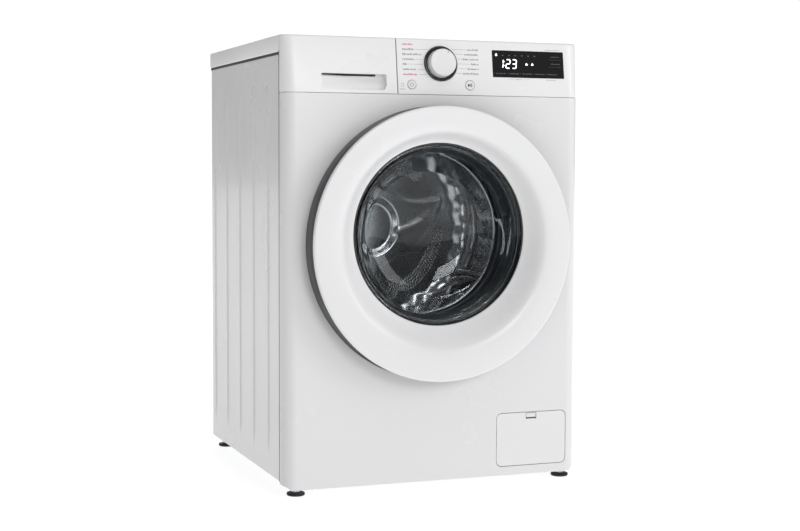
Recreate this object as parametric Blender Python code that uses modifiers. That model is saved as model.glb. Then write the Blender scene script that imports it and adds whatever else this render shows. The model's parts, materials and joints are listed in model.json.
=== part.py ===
"""A free-standing front-loading washing machine, 600 x 850 x 615 mm, as an assembly of separate parts.

The front faces -Y, +X is to the viewer's right, and the machine stands on Z = 0 with the origin under the
middle of its box. Depths written as a number added to FRONT are measured back from the front panel's face.
"""

import math

import bmesh
import bpy
from mathutils import Matrix, Vector

# Driving dimensions, in metres.
WIDTH = 0.600
HEIGHT = 0.850
BODY_DEPTH = 0.565
DOOR_PROUD = 0.050
WORKTOP_THICKNESS = 0.031
SHEET = 0.002
GAP = 0.0003

HALF_WIDTH = WIDTH / 2
FRONT = -(BODY_DEPTH + DOOR_PROUD) / 2 + DOOR_PROUD
BACK = FRONT + BODY_DEPTH
SEAM_DEPTH = 0.022
SEAM = FRONT + SEAM_DEPTH
CORNER_RADIUS = 0.020
CABINET_HALF = 0.2975
SIDE_SHEET = 0.004
PANEL_BOTTOM = 0.015
SIDE_BOTTOM = 0.024
FASCIA_BOTTOM = 0.745
FASCIA_LEAN = 0.015
WORKTOP_BOTTOM = HEIGHT - WORKTOP_THICKNESS

# Door, gasket, drum and tub. All but the door's outer ring share one horizontal axis.
AXIS_Z = 0.483
RING_Z = 0.4656
RING_RADIUS = 0.2575
WINDOW_RADIUS = 0.172
OPENING_RADIUS = 0.178
RECESS_RADIUS = 0.2625
RECESS_DEPTH = 0.0065
DRUM_RADIUS = 0.234
TUB_RADIUS = 0.250
TUB_WALL = 0.004
MOUTH_RADIUS = 0.158

# Door hinge: a vertical pin inside the left side of the ring.
HINGE_X = -0.240
HINGE_Y = FRONT - 0.030
HINGE_HALF = 0.045
HOOK_X = 0.222

# Control panel and detergent drawer.
DRAWER_SEAM_X = -0.0783
KNOB_X, KNOB_Z = 0.010, 0.8035
KNOB_RADIUS = 0.028
POWER_X, POWER_Z, POWER_RADIUS = -0.050, 0.764, 0.0088
START_X, START_Z, START_RADIUS = 0.068, 0.765, 0.0098
DISPLAY_X = (0.1177, 0.2672)
DISPLAY_Z = (0.782, 0.832)
TRAY_X = (-0.264, -0.096)
TRAY_Z = (0.7575, 0.806)
TRAY_BACK = FRONT + 0.235

# Service flap, pump and feet.
FLAP_X = (0.128, 0.275)
FLAP_Z = (0.030, 0.133)
FLAP_SHEET = 0.003
PUMP_X, PUMP_Z = 0.200, 0.080
FOOT_X = 0.272
FOOT_Y = (FRONT + 0.0175, FRONT + 0.545)
FOOT_RADIUS = 0.017
FOOT_THICKNESS = 0.010
BASE_Z = (0.022, 0.0265)

SPRING_X, SPRING_Y = 0.268, FRONT + 0.285
SPRING_Z = (0.620, 0.790)
DAMPER_X, DAMPER_Y = 0.190, FRONT + 0.290

LEAN = math.atan2(FASCIA_LEAN, HEIGHT - FASCIA_BOTTOM)
COARSE, ROUND, FINE = 24, 32, 40


# ---------------------------------------------------------------- scene, materials and modelling helpers
for old in list(bpy.data.objects):
    bpy.data.objects.remove(old)

PARTS = bpy.data.collections.new("washing_machine")
CUTTERS = bpy.data.collections.new("cutters")
bpy.context.scene.collection.children.link(PARTS)
bpy.context.scene.collection.children.link(CUTTERS)


def material(name, colour, roughness, metallic=0.0, alpha=1.0):
    """A Principled material with one colour."""
    made = bpy.data.materials.new(name)
    made.use_nodes = True
    shader = made.node_tree.nodes["Principled BSDF"]
    shader.inputs["Base Color"].default_value = (*colour, 1.0)
    shader.inputs["Roughness"].default_value = roughness
    shader.inputs["Metallic"].default_value = metallic
    shader.inputs["Alpha"].default_value = alpha
    return made


WHITE_ENAMEL = material("white_enamel", (0.86, 0.86, 0.87), 0.28)
WHITE_PLASTIC = material("white_plastic", (0.88, 0.88, 0.89), 0.32)
LAMINATE = material("white_laminate", (0.84, 0.84, 0.85), 0.40)
GREY_PLASTIC = material("grey_plastic", (0.20, 0.21, 0.22), 0.45)
BLACK_GLOSS = material("black_gloss_plastic", (0.012, 0.012, 0.014), 0.12)
BLACK_PLASTIC = material("black_plastic", (0.03, 0.03, 0.03), 0.50)
TUB_PLASTIC = material("tub_plastic", (0.55, 0.56, 0.57), 0.50)
RUBBER = material("grey_rubber", (0.10, 0.11, 0.12), 0.55)
HOSE_RUBBER = material("black_rubber", (0.02, 0.02, 0.02), 0.60)
GLASS = material("clear_glass", (0.75, 0.82, 0.83), 0.03, alpha=0.35)
STAINLESS = material("stainless_steel", (0.62, 0.62, 0.62), 0.25, 1.0)
ZINC = material("zinc_plated_steel", (0.60, 0.62, 0.65), 0.35, 1.0)
GALVANISED = material("galvanised_steel", (0.55, 0.57, 0.58), 0.45, 1.0)
CAST_ALUMINIUM = material("cast_aluminium", (0.50, 0.50, 0.51), 0.50, 1.0)
CONCRETE = material("concrete", (0.42, 0.41, 0.39), 0.90)
COPPER = material("copper_windings", (0.72, 0.36, 0.20), 0.40, 1.0)
BOARD_GREEN = material("circuit_board", (0.05, 0.22, 0.10), 0.50)


def add(name, mesh, paint, location=(0, 0, 0), rotation=(0, 0, 0)):
    """An object in the parts collection, shaded smooth but for its sharp edges."""
    mesh.materials.append(paint)
    mesh.shade_smooth()
    mesh.set_sharp_from_angle(angle=math.radians(35))
    made = bpy.data.objects.new(name, mesh)
    made.location = location
    made.rotation_euler = rotation
    PARTS.objects.link(made)
    return made


def helper(tool):
    """Turn a part into a cutter or a piece to be joined on: unseen, in the cutters' collection."""
    PARTS.objects.unlink(tool)
    CUTTERS.objects.link(tool)
    tool.hide_render = True
    tool.display_type = "WIRE"
    return tool


def boolean(target, tool, operation):
    step = target.modifiers.new(f"{operation.lower()}_{tool.name}", "BOOLEAN")
    step.operation = operation
    step.object = helper(tool)
    return target


def cut(target, *tools):
    for tool in tools:
        boolean(target, tool, "DIFFERENCE")
    return target


def join(target, *tools):
    for tool in tools:
        boolean(target, tool, "UNION")
    return target


def mesh_of(shape, name):
    made = bpy.data.meshes.new(name)
    shape.to_mesh(made)
    shape.free()
    return made


def box(name, low, high, paint=WHITE_PLASTIC, rounded=0.0, segments=3, pick=None):
    """A block between two corners. Edges that pick() accepts are rounded, or all of them."""
    shape = bmesh.new()
    bmesh.ops.create_cube(shape, size=1.0)
    size = Vector(high) - Vector(low)
    middle = (Vector(high) + Vector(low)) / 2
    bmesh.ops.scale(shape, vec=size, verts=shape.verts)
    if rounded:
        edges = [edge for edge in shape.edges if pick is None or pick(edge)]
        bmesh.ops.bevel(shape, geom=edges, offset=rounded, segments=segments, profile=0.5, affect="EDGES")
    return add(name, mesh_of(shape, name), paint, middle)


def along(axis):
    """Picks a block's edges that run along X (0), Y (1) or Z (2)."""
    return lambda edge: abs((edge.verts[0].co - edge.verts[1].co).normalized()[axis]) > 0.99


def front_uprights(edge):
    """Picks the two upright edges on a block's front."""
    return along(2)(edge) and edge.verts[0].co.y < 0


def rod(name, low, high, radius, paint=ZINC, steps=12, end_radius=None):
    """A cylinder or cone between two points."""
    span = Vector(high) - Vector(low)
    shape = bmesh.new()
    bmesh.ops.create_cone(
        shape,
        cap_ends=True,
        segments=steps,
        radius1=radius,
        radius2=radius if end_radius is None else end_radius,
        depth=span.length,
    )
    turn = span.to_track_quat("Z", "Y").to_euler()
    return add(name, mesh_of(shape, name), paint, (Vector(high) + Vector(low)) / 2, turn)


def turned(name, profile, paint, location=(0, 0, AXIS_Z), rotation=(-math.pi / 2, 0, 0), steps=COARSE):
    """A profile of (radius, place along the axis) swept round. The axis is along +Y unless it is rotated."""
    ends = profile + [profile[0]]
    area = sum(a[0] * b[1] - b[0] * a[1] for a, b in zip(ends, ends[1:]))
    points = profile if area < 0 else profile[::-1]
    start = next((i for i, point in enumerate(points) if point[0] == 0 and points[i - 1][0] == 0), None)
    if start is not None:
        points = points[start:] + points[:start]
    shape = bmesh.new()
    verts = [shape.verts.new((radius, 0, place)) for radius, place in points]
    pairs = list(zip(verts, verts[1:]))
    if start is None:
        pairs.append((verts[-1], verts[0]))
    for pair in pairs:
        shape.edges.new(pair)
    made = add(name, mesh_of(shape, name), paint, location, rotation)
    screw = made.modifiers.new("turn", "SCREW")
    screw.steps = steps
    screw.render_steps = steps
    screw.use_merge_vertices = True
    screw.merge_threshold = 0.00001
    screw.use_smooth_shade = True
    return made


def hull(name, points, paint):
    """The convex solid around some points."""
    shape = bmesh.new()
    for point in points:
        shape.verts.new(point)
    found = bmesh.ops.convex_hull(shape, input=shape.verts)
    inner = found["geom_interior"] + found["geom_unused"]
    spare = {item for item in inner if isinstance(item, bmesh.types.BMVert)}
    bmesh.ops.delete(shape, geom=list(spare), context="VERTS")
    bmesh.ops.recalc_face_normals(shape, faces=shape.faces)
    return add(name, mesh_of(shape, name), paint)


def mesh_from_curve(name, curve, paint, location=(0, 0, 0), rotation=(0, 0, 0)):
    """A curve's evaluated mesh with its caps welded on, as an object."""
    guide = bpy.data.objects.new(name + "_curve", curve)
    CUTTERS.objects.link(guide)
    bpy.context.view_layer.update()
    mesh = bpy.data.meshes.new_from_object(guide.evaluated_get(bpy.context.evaluated_depsgraph_get()))
    shape = bmesh.new()
    shape.from_mesh(mesh)
    bmesh.ops.remove_doubles(shape, verts=shape.verts, dist=0.00001)
    bmesh.ops.recalc_face_normals(shape, faces=shape.faces)
    bpy.data.objects.remove(guide)
    return add(name, mesh_of(shape, name), paint, location, rotation)


def spline_of(curve, points, cyclic=False):
    spline = curve.splines.new("POLY")
    spline.points.add(len(points) - 1)
    for held, point in zip(spline.points, points):
        held.co = (*point, 1.0)
    spline.use_cyclic_u = cyclic
    return spline


def tube(name, points, radius, paint, resolution=2):
    """A round wire or hose along a line of points."""
    curve = bpy.data.curves.new(name, "CURVE")
    curve.dimensions = "3D"
    curve.bevel_depth = radius
    curve.bevel_resolution = resolution
    curve.use_fill_caps = True
    spline_of(curve, points)
    return mesh_from_curve(name, curve, paint)


def plate(name, outline, thickness, paint, location=(0, 0, 0), rotation=(0, 0, 0)):
    """A flat outline, given in its own plane, with a thickness centred on that plane."""
    curve = bpy.data.curves.new(name, "CURVE")
    curve.dimensions = "2D"
    curve.fill_mode = "BOTH"
    curve.extrude = thickness / 2
    spline_of(curve, [(x, y, 0) for x, y in outline], cyclic=True)
    return mesh_from_curve(name, curve, paint, location, rotation)


def arc(centre, radius, start, end, steps):
    """Points on an arc, angles in degrees."""
    angles = [math.radians(start + (end - start) * i / steps) for i in range(steps + 1)]
    return [(centre[0] + radius * math.cos(a), centre[1] + radius * math.sin(a)) for a in angles]


def smooth_path(points, count):
    """A Catmull-Rom curve through some points, read at even steps."""
    held = [Vector(point) for point in points]
    held = [2 * held[0] - held[1], *held, 2 * held[-1] - held[-2]]
    path = []
    for i in range(count + 1):
        place = min(i / count * (len(points) - 1), len(points) - 1 - 1e-9)
        k = int(place)
        t = place - k
        a, b, c, d = held[k : k + 4]
        path.append(0.5 * (2 * b + (c - a) * t + (2 * a - 5 * b + 4 * c - d) * t**2
                           + (3 * b - a - 3 * c + d) * t**3))
    return path


def body(name, location):
    """An empty on a joint's axis, which the pieces of one moving body hang from."""
    pivot = bpy.data.objects.new(name + "_pivot", None)
    pivot.location = location
    PARTS.objects.link(pivot)
    return pivot


def hang(pivot, *pieces):
    bpy.context.view_layer.update()
    for piece in pieces:
        piece.parent = pivot
        piece.matrix_parent_inverse = pivot.matrix_world.inverted()


def on_panel(x, z, out=0.0):
    """The point on the leaning control panel at x and height z, moved out along the panel's normal."""
    depth = (z - FASCIA_BOTTOM) * math.tan(LEAN)
    return Vector((x, FRONT + depth - out * math.cos(LEAN), z + out * math.sin(LEAN)))


PANEL_TURN = (math.pi / 2 - LEAN, 0, 0)


# ---------------------------------------------------------------- cabinet
def side_panel(name, side):
    """A side wall with five pressed vertical grooves, and the bracket that a tub spring hangs from."""
    outer = side * CABINET_HALF
    inner = side * (CABINET_HALF - SIDE_SHEET)
    low_x, high_x = min(outer, inner), max(outer, inner)
    wall = box(
        name,
        (low_x, SEAM + 0.0005, SIDE_BOTTOM),
        (high_x, BACK - 0.003, WORKTOP_BOTTOM - GAP),
        WHITE_ENAMEL,
    )
    groove_half, groove_depth, first, pitch = 0.012, 0.0018, 0.118, 0.105
    for i in range(5):
        y = FRONT + first + pitch * i
        groove = box(
            f"{name}_groove_{i}",
            (outer - groove_depth, y - groove_half, 0.058),
            (outer + groove_depth, y + groove_half, 0.768),
            rounded=0.011,
            segments=2,
            pick=along(0),
        )
        cut(wall, groove)
    reach = side * (SPRING_X - 0.008)
    bracket = box(
        name + "_spring_bracket",
        (min(inner + side * 0.001, reach), SPRING_Y - 0.02, SPRING_Z[1] + 0.004),
        (max(inner + side * 0.001, reach), SPRING_Y + 0.02, SPRING_Z[1] + 0.008),
    )
    return join(wall, bracket)


def base_pan():
    """The floor of the cabinet, with a threaded hole for each foot."""
    pan = box(
        "base_pan",
        (-0.293, FRONT + 0.004, BASE_Z[0]),
        (0.293, BACK - 0.0035, BASE_Z[1]),
        GALVANISED,
        rounded=0.014,
        pick=along(2),
    )
    for x in (-FOOT_X, FOOT_X):
        for y in FOOT_Y:
            cut(pan, rod("foot_hole", (x, y, 0.01), (x, y, 0.04), 0.0056))
    return pan


def rear_panel():
    """The back wall: a service opening, the valve's window, and round holes for water out and mains."""
    wall = box(
        "rear_panel",
        (-0.2930, BACK - 0.0025, SIDE_BOTTOM),
        (0.2930, BACK, WORKTOP_BOTTOM - GAP),
        GALVANISED,
    )
    opening = box(
        "service_opening",
        (-0.19, BACK - 0.01, 0.24),
        (0.19, BACK + 0.01, 0.70),
        rounded=0.03,
        pick=along(1),
    )
    valve_window = box(
        "valve_window",
        (0.180, BACK - 0.01, 0.755),
        (0.230, BACK + 0.01, 0.805),
        rounded=0.004,
        pick=along(1),
    )
    cut(wall, opening, valve_window)
    for x, z, radius in ((-0.235, 0.740, 0.0135), (-0.235, 0.640, 0.0125)):
        cut(wall, rod("rear_hole", (x, BACK - 0.01, z), (x, BACK + 0.01, z), radius, steps=16))
    return wall


def rear_cover():
    """The removable cover of the service opening, held from inside, with a stiffening boss."""
    cover = box(
        "rear_cover",
        (-0.205, BACK - 0.0048, 0.225),
        (0.205, BACK - 0.0025 - GAP, 0.715),
        GALVANISED,
        rounded=0.03,
        pick=along(1),
    )
    boss = rod(
        "cover_boss",
        (0, BACK - 0.0055, AXIS_Z),
        (0, BACK - 0.0003, AXIS_Z),
        0.135,
        steps=COARSE,
        end_radius=0.125,
    )
    return join(cover, boss)


def worktop():
    """The top slab, a little wider than the cabinet."""
    return box(
        "worktop",
        (-HALF_WIDTH, SEAM + 0.0005, WORKTOP_BOTTOM),
        (HALF_WIDTH, BACK, HEIGHT),
        LAMINATE,
        rounded=0.004,
        segments=2,
    )


def front_panel():
    """The door panel: a folded sheet with round corners, a shallow round recess and three openings."""
    panel = box(
        "front_panel",
        (-HALF_WIDTH, FRONT, PANEL_BOTTOM),
        (HALF_WIDTH, SEAM, FASCIA_BOTTOM - 0.002),
        WHITE_ENAMEL,
        rounded=CORNER_RADIUS - 0.0001,
        segments=5,
        pick=front_uprights,
    )
    hollow = box(
        "front_panel_hollow",
        (-HALF_WIDTH + SHEET, FRONT + SHEET, 0),
        (HALF_WIDTH - SHEET, SEAM + 0.02, FASCIA_BOTTOM + 0.02),
        rounded=CORNER_RADIUS - SHEET,
        segments=5,
        pick=front_uprights,
    )
    cut(panel, hollow)
    dish = rod(
        "recess_dish",
        (0, FRONT + 0.0007, RING_Z),
        (0, FRONT + RECESS_DEPTH + SHEET, RING_Z),
        RECESS_RADIUS + 0.003,
        steps=FINE,
    )
    join(panel, dish)
    recess = rod(
        "recess",
        (0, FRONT - 0.02, RING_Z),
        (0, FRONT + RECESS_DEPTH, RING_Z),
        RECESS_RADIUS,
        steps=FINE,
    )
    opening = rod(
        "door_opening",
        (0, FRONT - 0.02, AXIS_Z),
        (0, FRONT + 0.05, AXIS_Z),
        OPENING_RADIUS,
        steps=ROUND,
    )
    latch = box(
        "latch_slot",
        (HOOK_X - 0.015, FRONT - 0.02, RING_Z - 0.0085),
        (HOOK_X + 0.0145, SEAM, RING_Z + 0.0085),
    )
    flap = box(
        "flap_opening",
        (FLAP_X[0] - 0.001, FRONT - 0.02, FLAP_Z[0] - 0.001),
        (FLAP_X[1] + 0.001, SEAM, FLAP_Z[1] + 0.001),
        rounded=0.008,
        pick=along(1),
    )
    return cut(panel, recess, opening, latch, flap)


def door_lock():
    """The electric lock behind the panel, with the slot that the door's hook enters."""
    lock = box(
        "door_lock",
        (0.198, FRONT + 0.0095, 0.425),
        (0.250, FRONT + 0.036, 0.506),
        GREY_PLASTIC,
        rounded=0.003,
        segments=1,
    )
    slot = box(
        "lock_slot",
        (HOOK_X - 0.014, FRONT, RING_Z - 0.008),
        (HOOK_X + 0.014, FRONT + 0.033, RING_Z + 0.008),
    )
    return cut(lock, slot)


# ---------------------------------------------------------------- control panel and detergent drawer
def fascia_points(x_low, x_high, inset=0.0, back=SEAM, bottom=FASCIA_BOTTOM):
    """Points around the leaning fascia strip. An end that reaches the side is rounded in plan."""
    rows = [
        (bottom, 0.0),
        (HEIGHT - 0.0040, FASCIA_LEAN - 0.0006),
        (HEIGHT - 0.0012, FASCIA_LEAN + 0.0012),
        (HEIGHT, FASCIA_LEAN + 0.0040),
    ]
    reach = HALF_WIDTH - inset
    radius = CORNER_RADIUS - inset
    plan = []
    for x, side in ((x_low, -1), (x_high, 1)):
        if abs(x) < reach - radius:
            plan.append((x, 1.0))
            continue
        for step in range(7):
            angle = math.radians(15 * step)
            plan.append((side * (reach - radius + radius * math.sin(angle)), math.cos(angle)))
    points = []
    for z, lean in rows:
        room = back - (FRONT + inset + lean)
        points += [(x, back - share * room, z - (inset if z > bottom else 0)) for x, share in plan]
    points += [(x, back, z) for x in (x_low, x_high) for z in (bottom, HEIGHT - inset)]
    return points


def fascia(name, x_low, x_high, paint):
    """A leaning shell 3 mm thick, open at the back."""
    wall = 0.003
    shell = hull(name, fascia_points(x_low, x_high), paint)
    low = max(x_low + wall, -HALF_WIDTH + wall)
    high = min(x_high - wall, HALF_WIDTH - wall)
    hollow = hull(
        name + "_hollow",
        fascia_points(low, high, wall, SEAM + 0.02, FASCIA_BOTTOM + wall),
        paint,
    )
    return cut(shell, hollow)


def panel_block(name, x, z, out, paint):
    """A block on the leaning control panel, from its ranges in x, z and out."""
    middle = on_panel(sum(x) / 2, sum(z) / 2, sum(out) / 2)
    size = Vector((x[1] - x[0], (z[1] - z[0]) / math.cos(LEAN), out[1] - out[0])) / 2
    made = box(name, -size, size, paint)
    made.location = middle
    made.rotation_euler = PANEL_TURN
    return made


def control_panel():
    panel = fascia("control_panel", DRAWER_SEAM_X + 0.0010, HALF_WIDTH, WHITE_PLASTIC)
    for name, x, z, radius in (
        ("knob_hole", KNOB_X, KNOB_Z, 0.0320),
        ("power_hole", POWER_X, POWER_Z, POWER_RADIUS + 0.0006),
        ("start_hole", START_X, START_Z, START_RADIUS + 0.0006),
    ):
        cut(panel, rod(name, on_panel(x, z, -0.02), on_panel(x, z, 0.02), radius, steps=24))
    cut(panel, panel_block("display_cutout", DISPLAY_X, DISPLAY_Z, (-0.02, 0.02), BLACK_GLOSS))
    return panel


def display_window():
    x = (DISPLAY_X[0] + GAP, DISPLAY_X[1] - GAP)
    z = (DISPLAY_Z[0] + GAP, DISPLAY_Z[1] - GAP)
    return panel_block("display_window", x, z, (-0.0025, 0.0004), BLACK_GLOSS)


def knob_bezel():
    """The glossy ring around the programme knob, with a sleeve through the panel."""
    profile = [
        (0.0290, 0.0030),
        (0.0310, 0.0036),
        (0.0337, 0.0022),
        (0.0337, 0.0004),
        (0.0315, 0.0004),
        (0.0315, -0.0060),
        (0.0290, -0.0060),
    ]
    return turned("knob_bezel", profile, BLACK_GLOSS, on_panel(KNOB_X, KNOB_Z), PANEL_TURN)


def program_knob():
    profile = [
        (0, 0.0180),
        (0.0262, 0.0180),
        (KNOB_RADIUS, 0.0164),
        (KNOB_RADIUS, -0.0020),
        (0.0040, -0.0020),
        (0.0040, -0.0110),
        (0, -0.0110),
    ]
    knob = turned("program_knob", profile, WHITE_PLASTIC, on_panel(KNOB_X, KNOB_Z), PANEL_TURN)
    hang(body("knob", on_panel(KNOB_X, KNOB_Z)), knob)


def push_button(name, x, z, radius):
    """A round button that shows 0.8 mm proud, with a wider foot that keeps it in the panel."""
    profile = [
        (0, 0.0008),
        (radius - 0.0006, 0.0008),
        (radius, 0.0002),
        (radius, -0.0052),
        (radius + 0.0020, -0.0052),
        (radius + 0.0020, -0.0070),
        (0, -0.0070),
    ]
    button = turned(name, profile, WHITE_PLASTIC, on_panel(x, z), PANEL_TURN, steps=16)
    hang(body(name, on_panel(x, z)), button)


def power_board():
    """The mains and motor electronics, low down at the back."""
    board = box("power_board", (-0.255, BACK - 0.130, 0.040), (-0.10, BACK - 0.040, 0.043), BOARD_GREEN)
    heat_sink = box("heat_sink", (-0.24, BACK - 0.115, 0.042), (-0.19, BACK - 0.060, 0.075))
    capacitor = rod("capacitor", (-0.15, BACK - 0.085, 0.042), (-0.15, BACK - 0.085, 0.078), 0.014)
    return join(board, heat_sink, capacitor)


def dispenser_housing():
    """The box that the drawer slides in, open in front, with a water spout at its back."""
    low = (-0.2700, FRONT + 0.0260, 0.7525)
    high = (-0.0900, FRONT + 0.2600, 0.8165)
    wall = 0.0030
    housing = box("dispenser_housing", low, high, WHITE_PLASTIC)
    inside = box(
        "dispenser_inside",
        (low[0] + wall, low[1] - 0.02, low[2] + wall),
        (high[0] - wall, high[1] - wall, high[2] - wall),
    )
    return cut(housing, inside)


def drawer_front():
    """The drawer's face: the left end of the fascia, with a scooped grip along its lower edge."""
    face = fascia("drawer_front", -HALF_WIDTH, DRAWER_SEAM_X - 0.0010, WHITE_PLASTIC)
    block = box("grip_block", (-0.236, FRONT + 0.006, 0.7475), (-0.092, FRONT + 0.0235, 0.7930))
    join(face, block)
    scoop = box(
        "grip_scoop",
        (-0.226, FRONT - 0.02, 0.7515),
        (-0.0997, FRONT + 0.0180, 0.7780),
        rounded=0.008,
        segments=3,
        pick=lambda edge: along(1)(edge) and edge.verts[0].co.z < 0,
    )
    undercut = box("grip_undercut", (-0.226, FRONT + 0.0085, 0.7700), (-0.1200, FRONT + 0.0180, 0.7890))
    return cut(face, scoop, undercut)


def drawer_tray():
    """The detergent tray with its three compartments: pre-wash, main wash and softener."""
    wall = 0.002
    tray = box(
        "drawer_tray",
        (TRAY_X[0], FRONT + 0.0245, TRAY_Z[0]),
        (TRAY_X[1], TRAY_BACK, TRAY_Z[1]),
        WHITE_PLASTIC,
    )
    walls_x = [TRAY_X[0] + wall, -0.208, -0.150, TRAY_X[1]]
    for i, (left, right) in enumerate(zip(walls_x, walls_x[1:])):
        pocket = box(
            f"compartment_{i}",
            (left, FRONT + 0.0245 + wall, TRAY_Z[0] + wall),
            (right - wall, TRAY_BACK - wall, TRAY_Z[1] + 0.01),
            rounded=0.006,
            segments=2,
            pick=along(2),
        )
        cut(tray, pocket)
    return tray


# ---------------------------------------------------------------- door
def door_frame():
    """The white ring: circles of different centres, lofted, so that the funnel is deeper below the window."""
    window = (WINDOW_RADIUS, AXIS_Z)
    sections = [
        (RING_RADIUS, RING_Z, -0.0320),
        (RING_RADIUS, RING_Z, -0.0430),
        (0.2545, RING_Z, -0.0482),
        (0.2350, RING_Z, -0.0500),
        (0.2070, 0.4705, -0.0475),
        (0.1900, 0.4775, -0.0340),
        (0.1755, 0.4827, -0.0215),
        (*window, -0.0195),
        (*window, -0.0168),
        (0.1890, 0.4775, -0.0295),
        (0.2055, 0.4705, -0.0440),
        (0.2535, RING_Z, -0.0440),
        (0.2545, RING_Z, -0.0320),
    ]
    shape = bmesh.new()
    rings = []
    for radius, centre_z, depth in sections:
        angles = [2 * math.pi * i / FINE for i in range(FINE)]
        rings.append([
            shape.verts.new((radius * math.sin(a), FRONT + depth, centre_z + radius * math.cos(a)))
            for a in angles
        ])
    for first, second in zip(rings, rings[1:] + rings[:1]):
        for i in range(FINE):
            j = (i + 1) % FINE
            shape.faces.new((first[i], first[j], second[j], second[i]))
    bmesh.ops.recalc_face_normals(shape, faces=shape.faces)
    return add("door_frame", mesh_of(shape, "door_frame"), WHITE_PLASTIC)


def glass_clamp():
    """The dark ring that holds the glass against the inner frame."""
    profile = [
        (0.1655, FRONT - 0.0188),
        (0.1712, FRONT - 0.0188),
        (0.1712, FRONT - 0.0162),
        (0.1780, FRONT - 0.0162),
        (0.1780, FRONT - 0.0129),
        (0.1655, FRONT - 0.0129),
    ]
    return turned("glass_clamp", profile, BLACK_GLOSS)


def door_glass():
    """The bowl-shaped window, 4 mm thick, which reaches into the drum's mouth."""
    outside = [
        (0.1670, -0.0090),
        (0.1600, 0.0000),
        (0.1490, 0.0260),
        (0.1310, 0.0600),
        (0.1150, 0.0750),
        (0.0850, 0.0850),
        (0.0, 0.0895),
    ]
    thick = 0.004
    inside = [
        (0.0, 0.0895 - thick),
        (0.0835, 0.0812),
        (0.1125, 0.0718),
        (0.1275, 0.0578),
        (0.1450, 0.0248),
        (0.1560, -0.0010),
        (0.1620, -0.0125),
    ]
    flange = [(0.1790, -0.0125), (0.1790, -0.0090)]
    profile = [(radius, FRONT + depth) for radius, depth in flange + outside + inside]
    return turned("door_glass", profile, GLASS, steps=ROUND)


def door_inner_frame():
    """The door's dark back: a shallow cup with a hole for the glass, a hinge notch and a hook slot."""
    profile = [
        (0.1000, FRONT - 0.0085),
        (0.2440, FRONT - 0.0085),
        (0.2440, FRONT - 0.0425),
        (0.2470, FRONT - 0.0425),
        (0.2470, FRONT - 0.0070),
        (0.2440, FRONT - 0.0040),
        (0.1000, FRONT - 0.0040),
    ]
    cup = turned("door_inner_frame", profile, GREY_PLASTIC, (0, 0, RING_Z), steps=FINE)
    hole = rod("glass_hole", (0, FRONT - 0.1, AXIS_Z), (0, FRONT + 0.1, AXIS_Z), 0.1700, steps=ROUND)
    notch = box(
        "hinge_notch",
        (-0.30, FRONT - 0.040, RING_Z - HINGE_HALF - 0.005),
        (-0.203, FRONT + 0.01, RING_Z + HINGE_HALF + 0.005),
    )
    slot = box(
        "hook_slot",
        (HOOK_X - 0.014, FRONT - 0.02, RING_Z - 0.0075),
        (HOOK_X + 0.0125, FRONT + 0.01, RING_Z + 0.0075),
    )
    return cut(cup, hole, notch, slot)


def hinge_bracket():
    """The fixed half of the hinge: a plate on the front panel and two ears out to the pin."""
    plate_y = (FRONT + RECESS_DEPTH - 0.0030, FRONT + RECESS_DEPTH - GAP)
    bracket = box(
        "hinge_bracket",
        (-0.222, plate_y[0], RING_Z - HINGE_HALF),
        (-0.199, plate_y[1], RING_Z + HINGE_HALF),
        ZINC,
    )
    ear = 0.012
    for low in (RING_Z - HINGE_HALF, RING_Z + HINGE_HALF - ear):
        knuckle = arc((HINGE_X, HINGE_Y), 0.0050, 0, 330, 11)
        root = [(-0.204, plate_y[0] + 0.001), (-0.1995, plate_y[0] + 0.001)]
        points = [(x, y, z) for x, y in knuckle + root for z in (low, low + ear)]
        join(bracket, hull("hinge_ear", points, ZINC))
    hole = rod("pin_hole", (HINGE_X, HINGE_Y, 0.3), (HINGE_X, HINGE_Y, 0.6), 0.0028)
    return cut(bracket, hole)


def hinge_arm():
    """The door's half of the hinge: a knuckle between the ears and a plate on the inner frame."""
    half = HINGE_HALF - 0.013
    low, high = RING_Z - half, RING_Z + half
    arm = box("hinge_arm", (-0.209, FRONT - 0.0125, low), (-0.184, FRONT - 0.0088, high), ZINC)
    knuckle = arc((HINGE_X, HINGE_Y), 0.0055, 0, 330, 11)
    root = [(x, y) for x in (-0.2085, -0.2030) for y in (FRONT - 0.0125, FRONT - 0.0090)]
    points = [(x, y, z) for x, y in knuckle + root for z in (low, high)]
    join(arm, hull("hinge_strap", points, ZINC))
    hole = rod("arm_pin_hole", (HINGE_X, HINGE_Y, 0.3), (HINGE_X, HINGE_Y, 0.6), 0.0028)
    return cut(arm, hole)


def door_hook():
    """The sprung hook that the lock catches, on its own short pivot in the inner frame."""
    pivot_y = FRONT - 0.0150
    hook = rod("door_hook", (HOOK_X, pivot_y, RING_Z - 0.007), (HOOK_X, pivot_y, RING_Z + 0.007), 0.0050)
    shank = box(
        "hook_shank",
        (HOOK_X - 0.0035, pivot_y, RING_Z - 0.004),
        (HOOK_X + 0.0035, FRONT + 0.026, RING_Z + 0.004),
    )
    barb = hull(
        "hook_barb",
        [
            (x, y, z)
            for x, y in (
                (HOOK_X - 0.0030, FRONT + 0.0145),
                (HOOK_X + 0.0085, FRONT + 0.0145),
                (HOOK_X + 0.0030, FRONT + 0.0285),
                (HOOK_X - 0.0030, FRONT + 0.0285),
            )
            for z in (RING_Z - 0.0045, RING_Z + 0.0045)
        ],
        ZINC,
    )
    join(hook, shank, barb)
    hang(body("door_hook", (HOOK_X, pivot_y, RING_Z)), hook)


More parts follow.
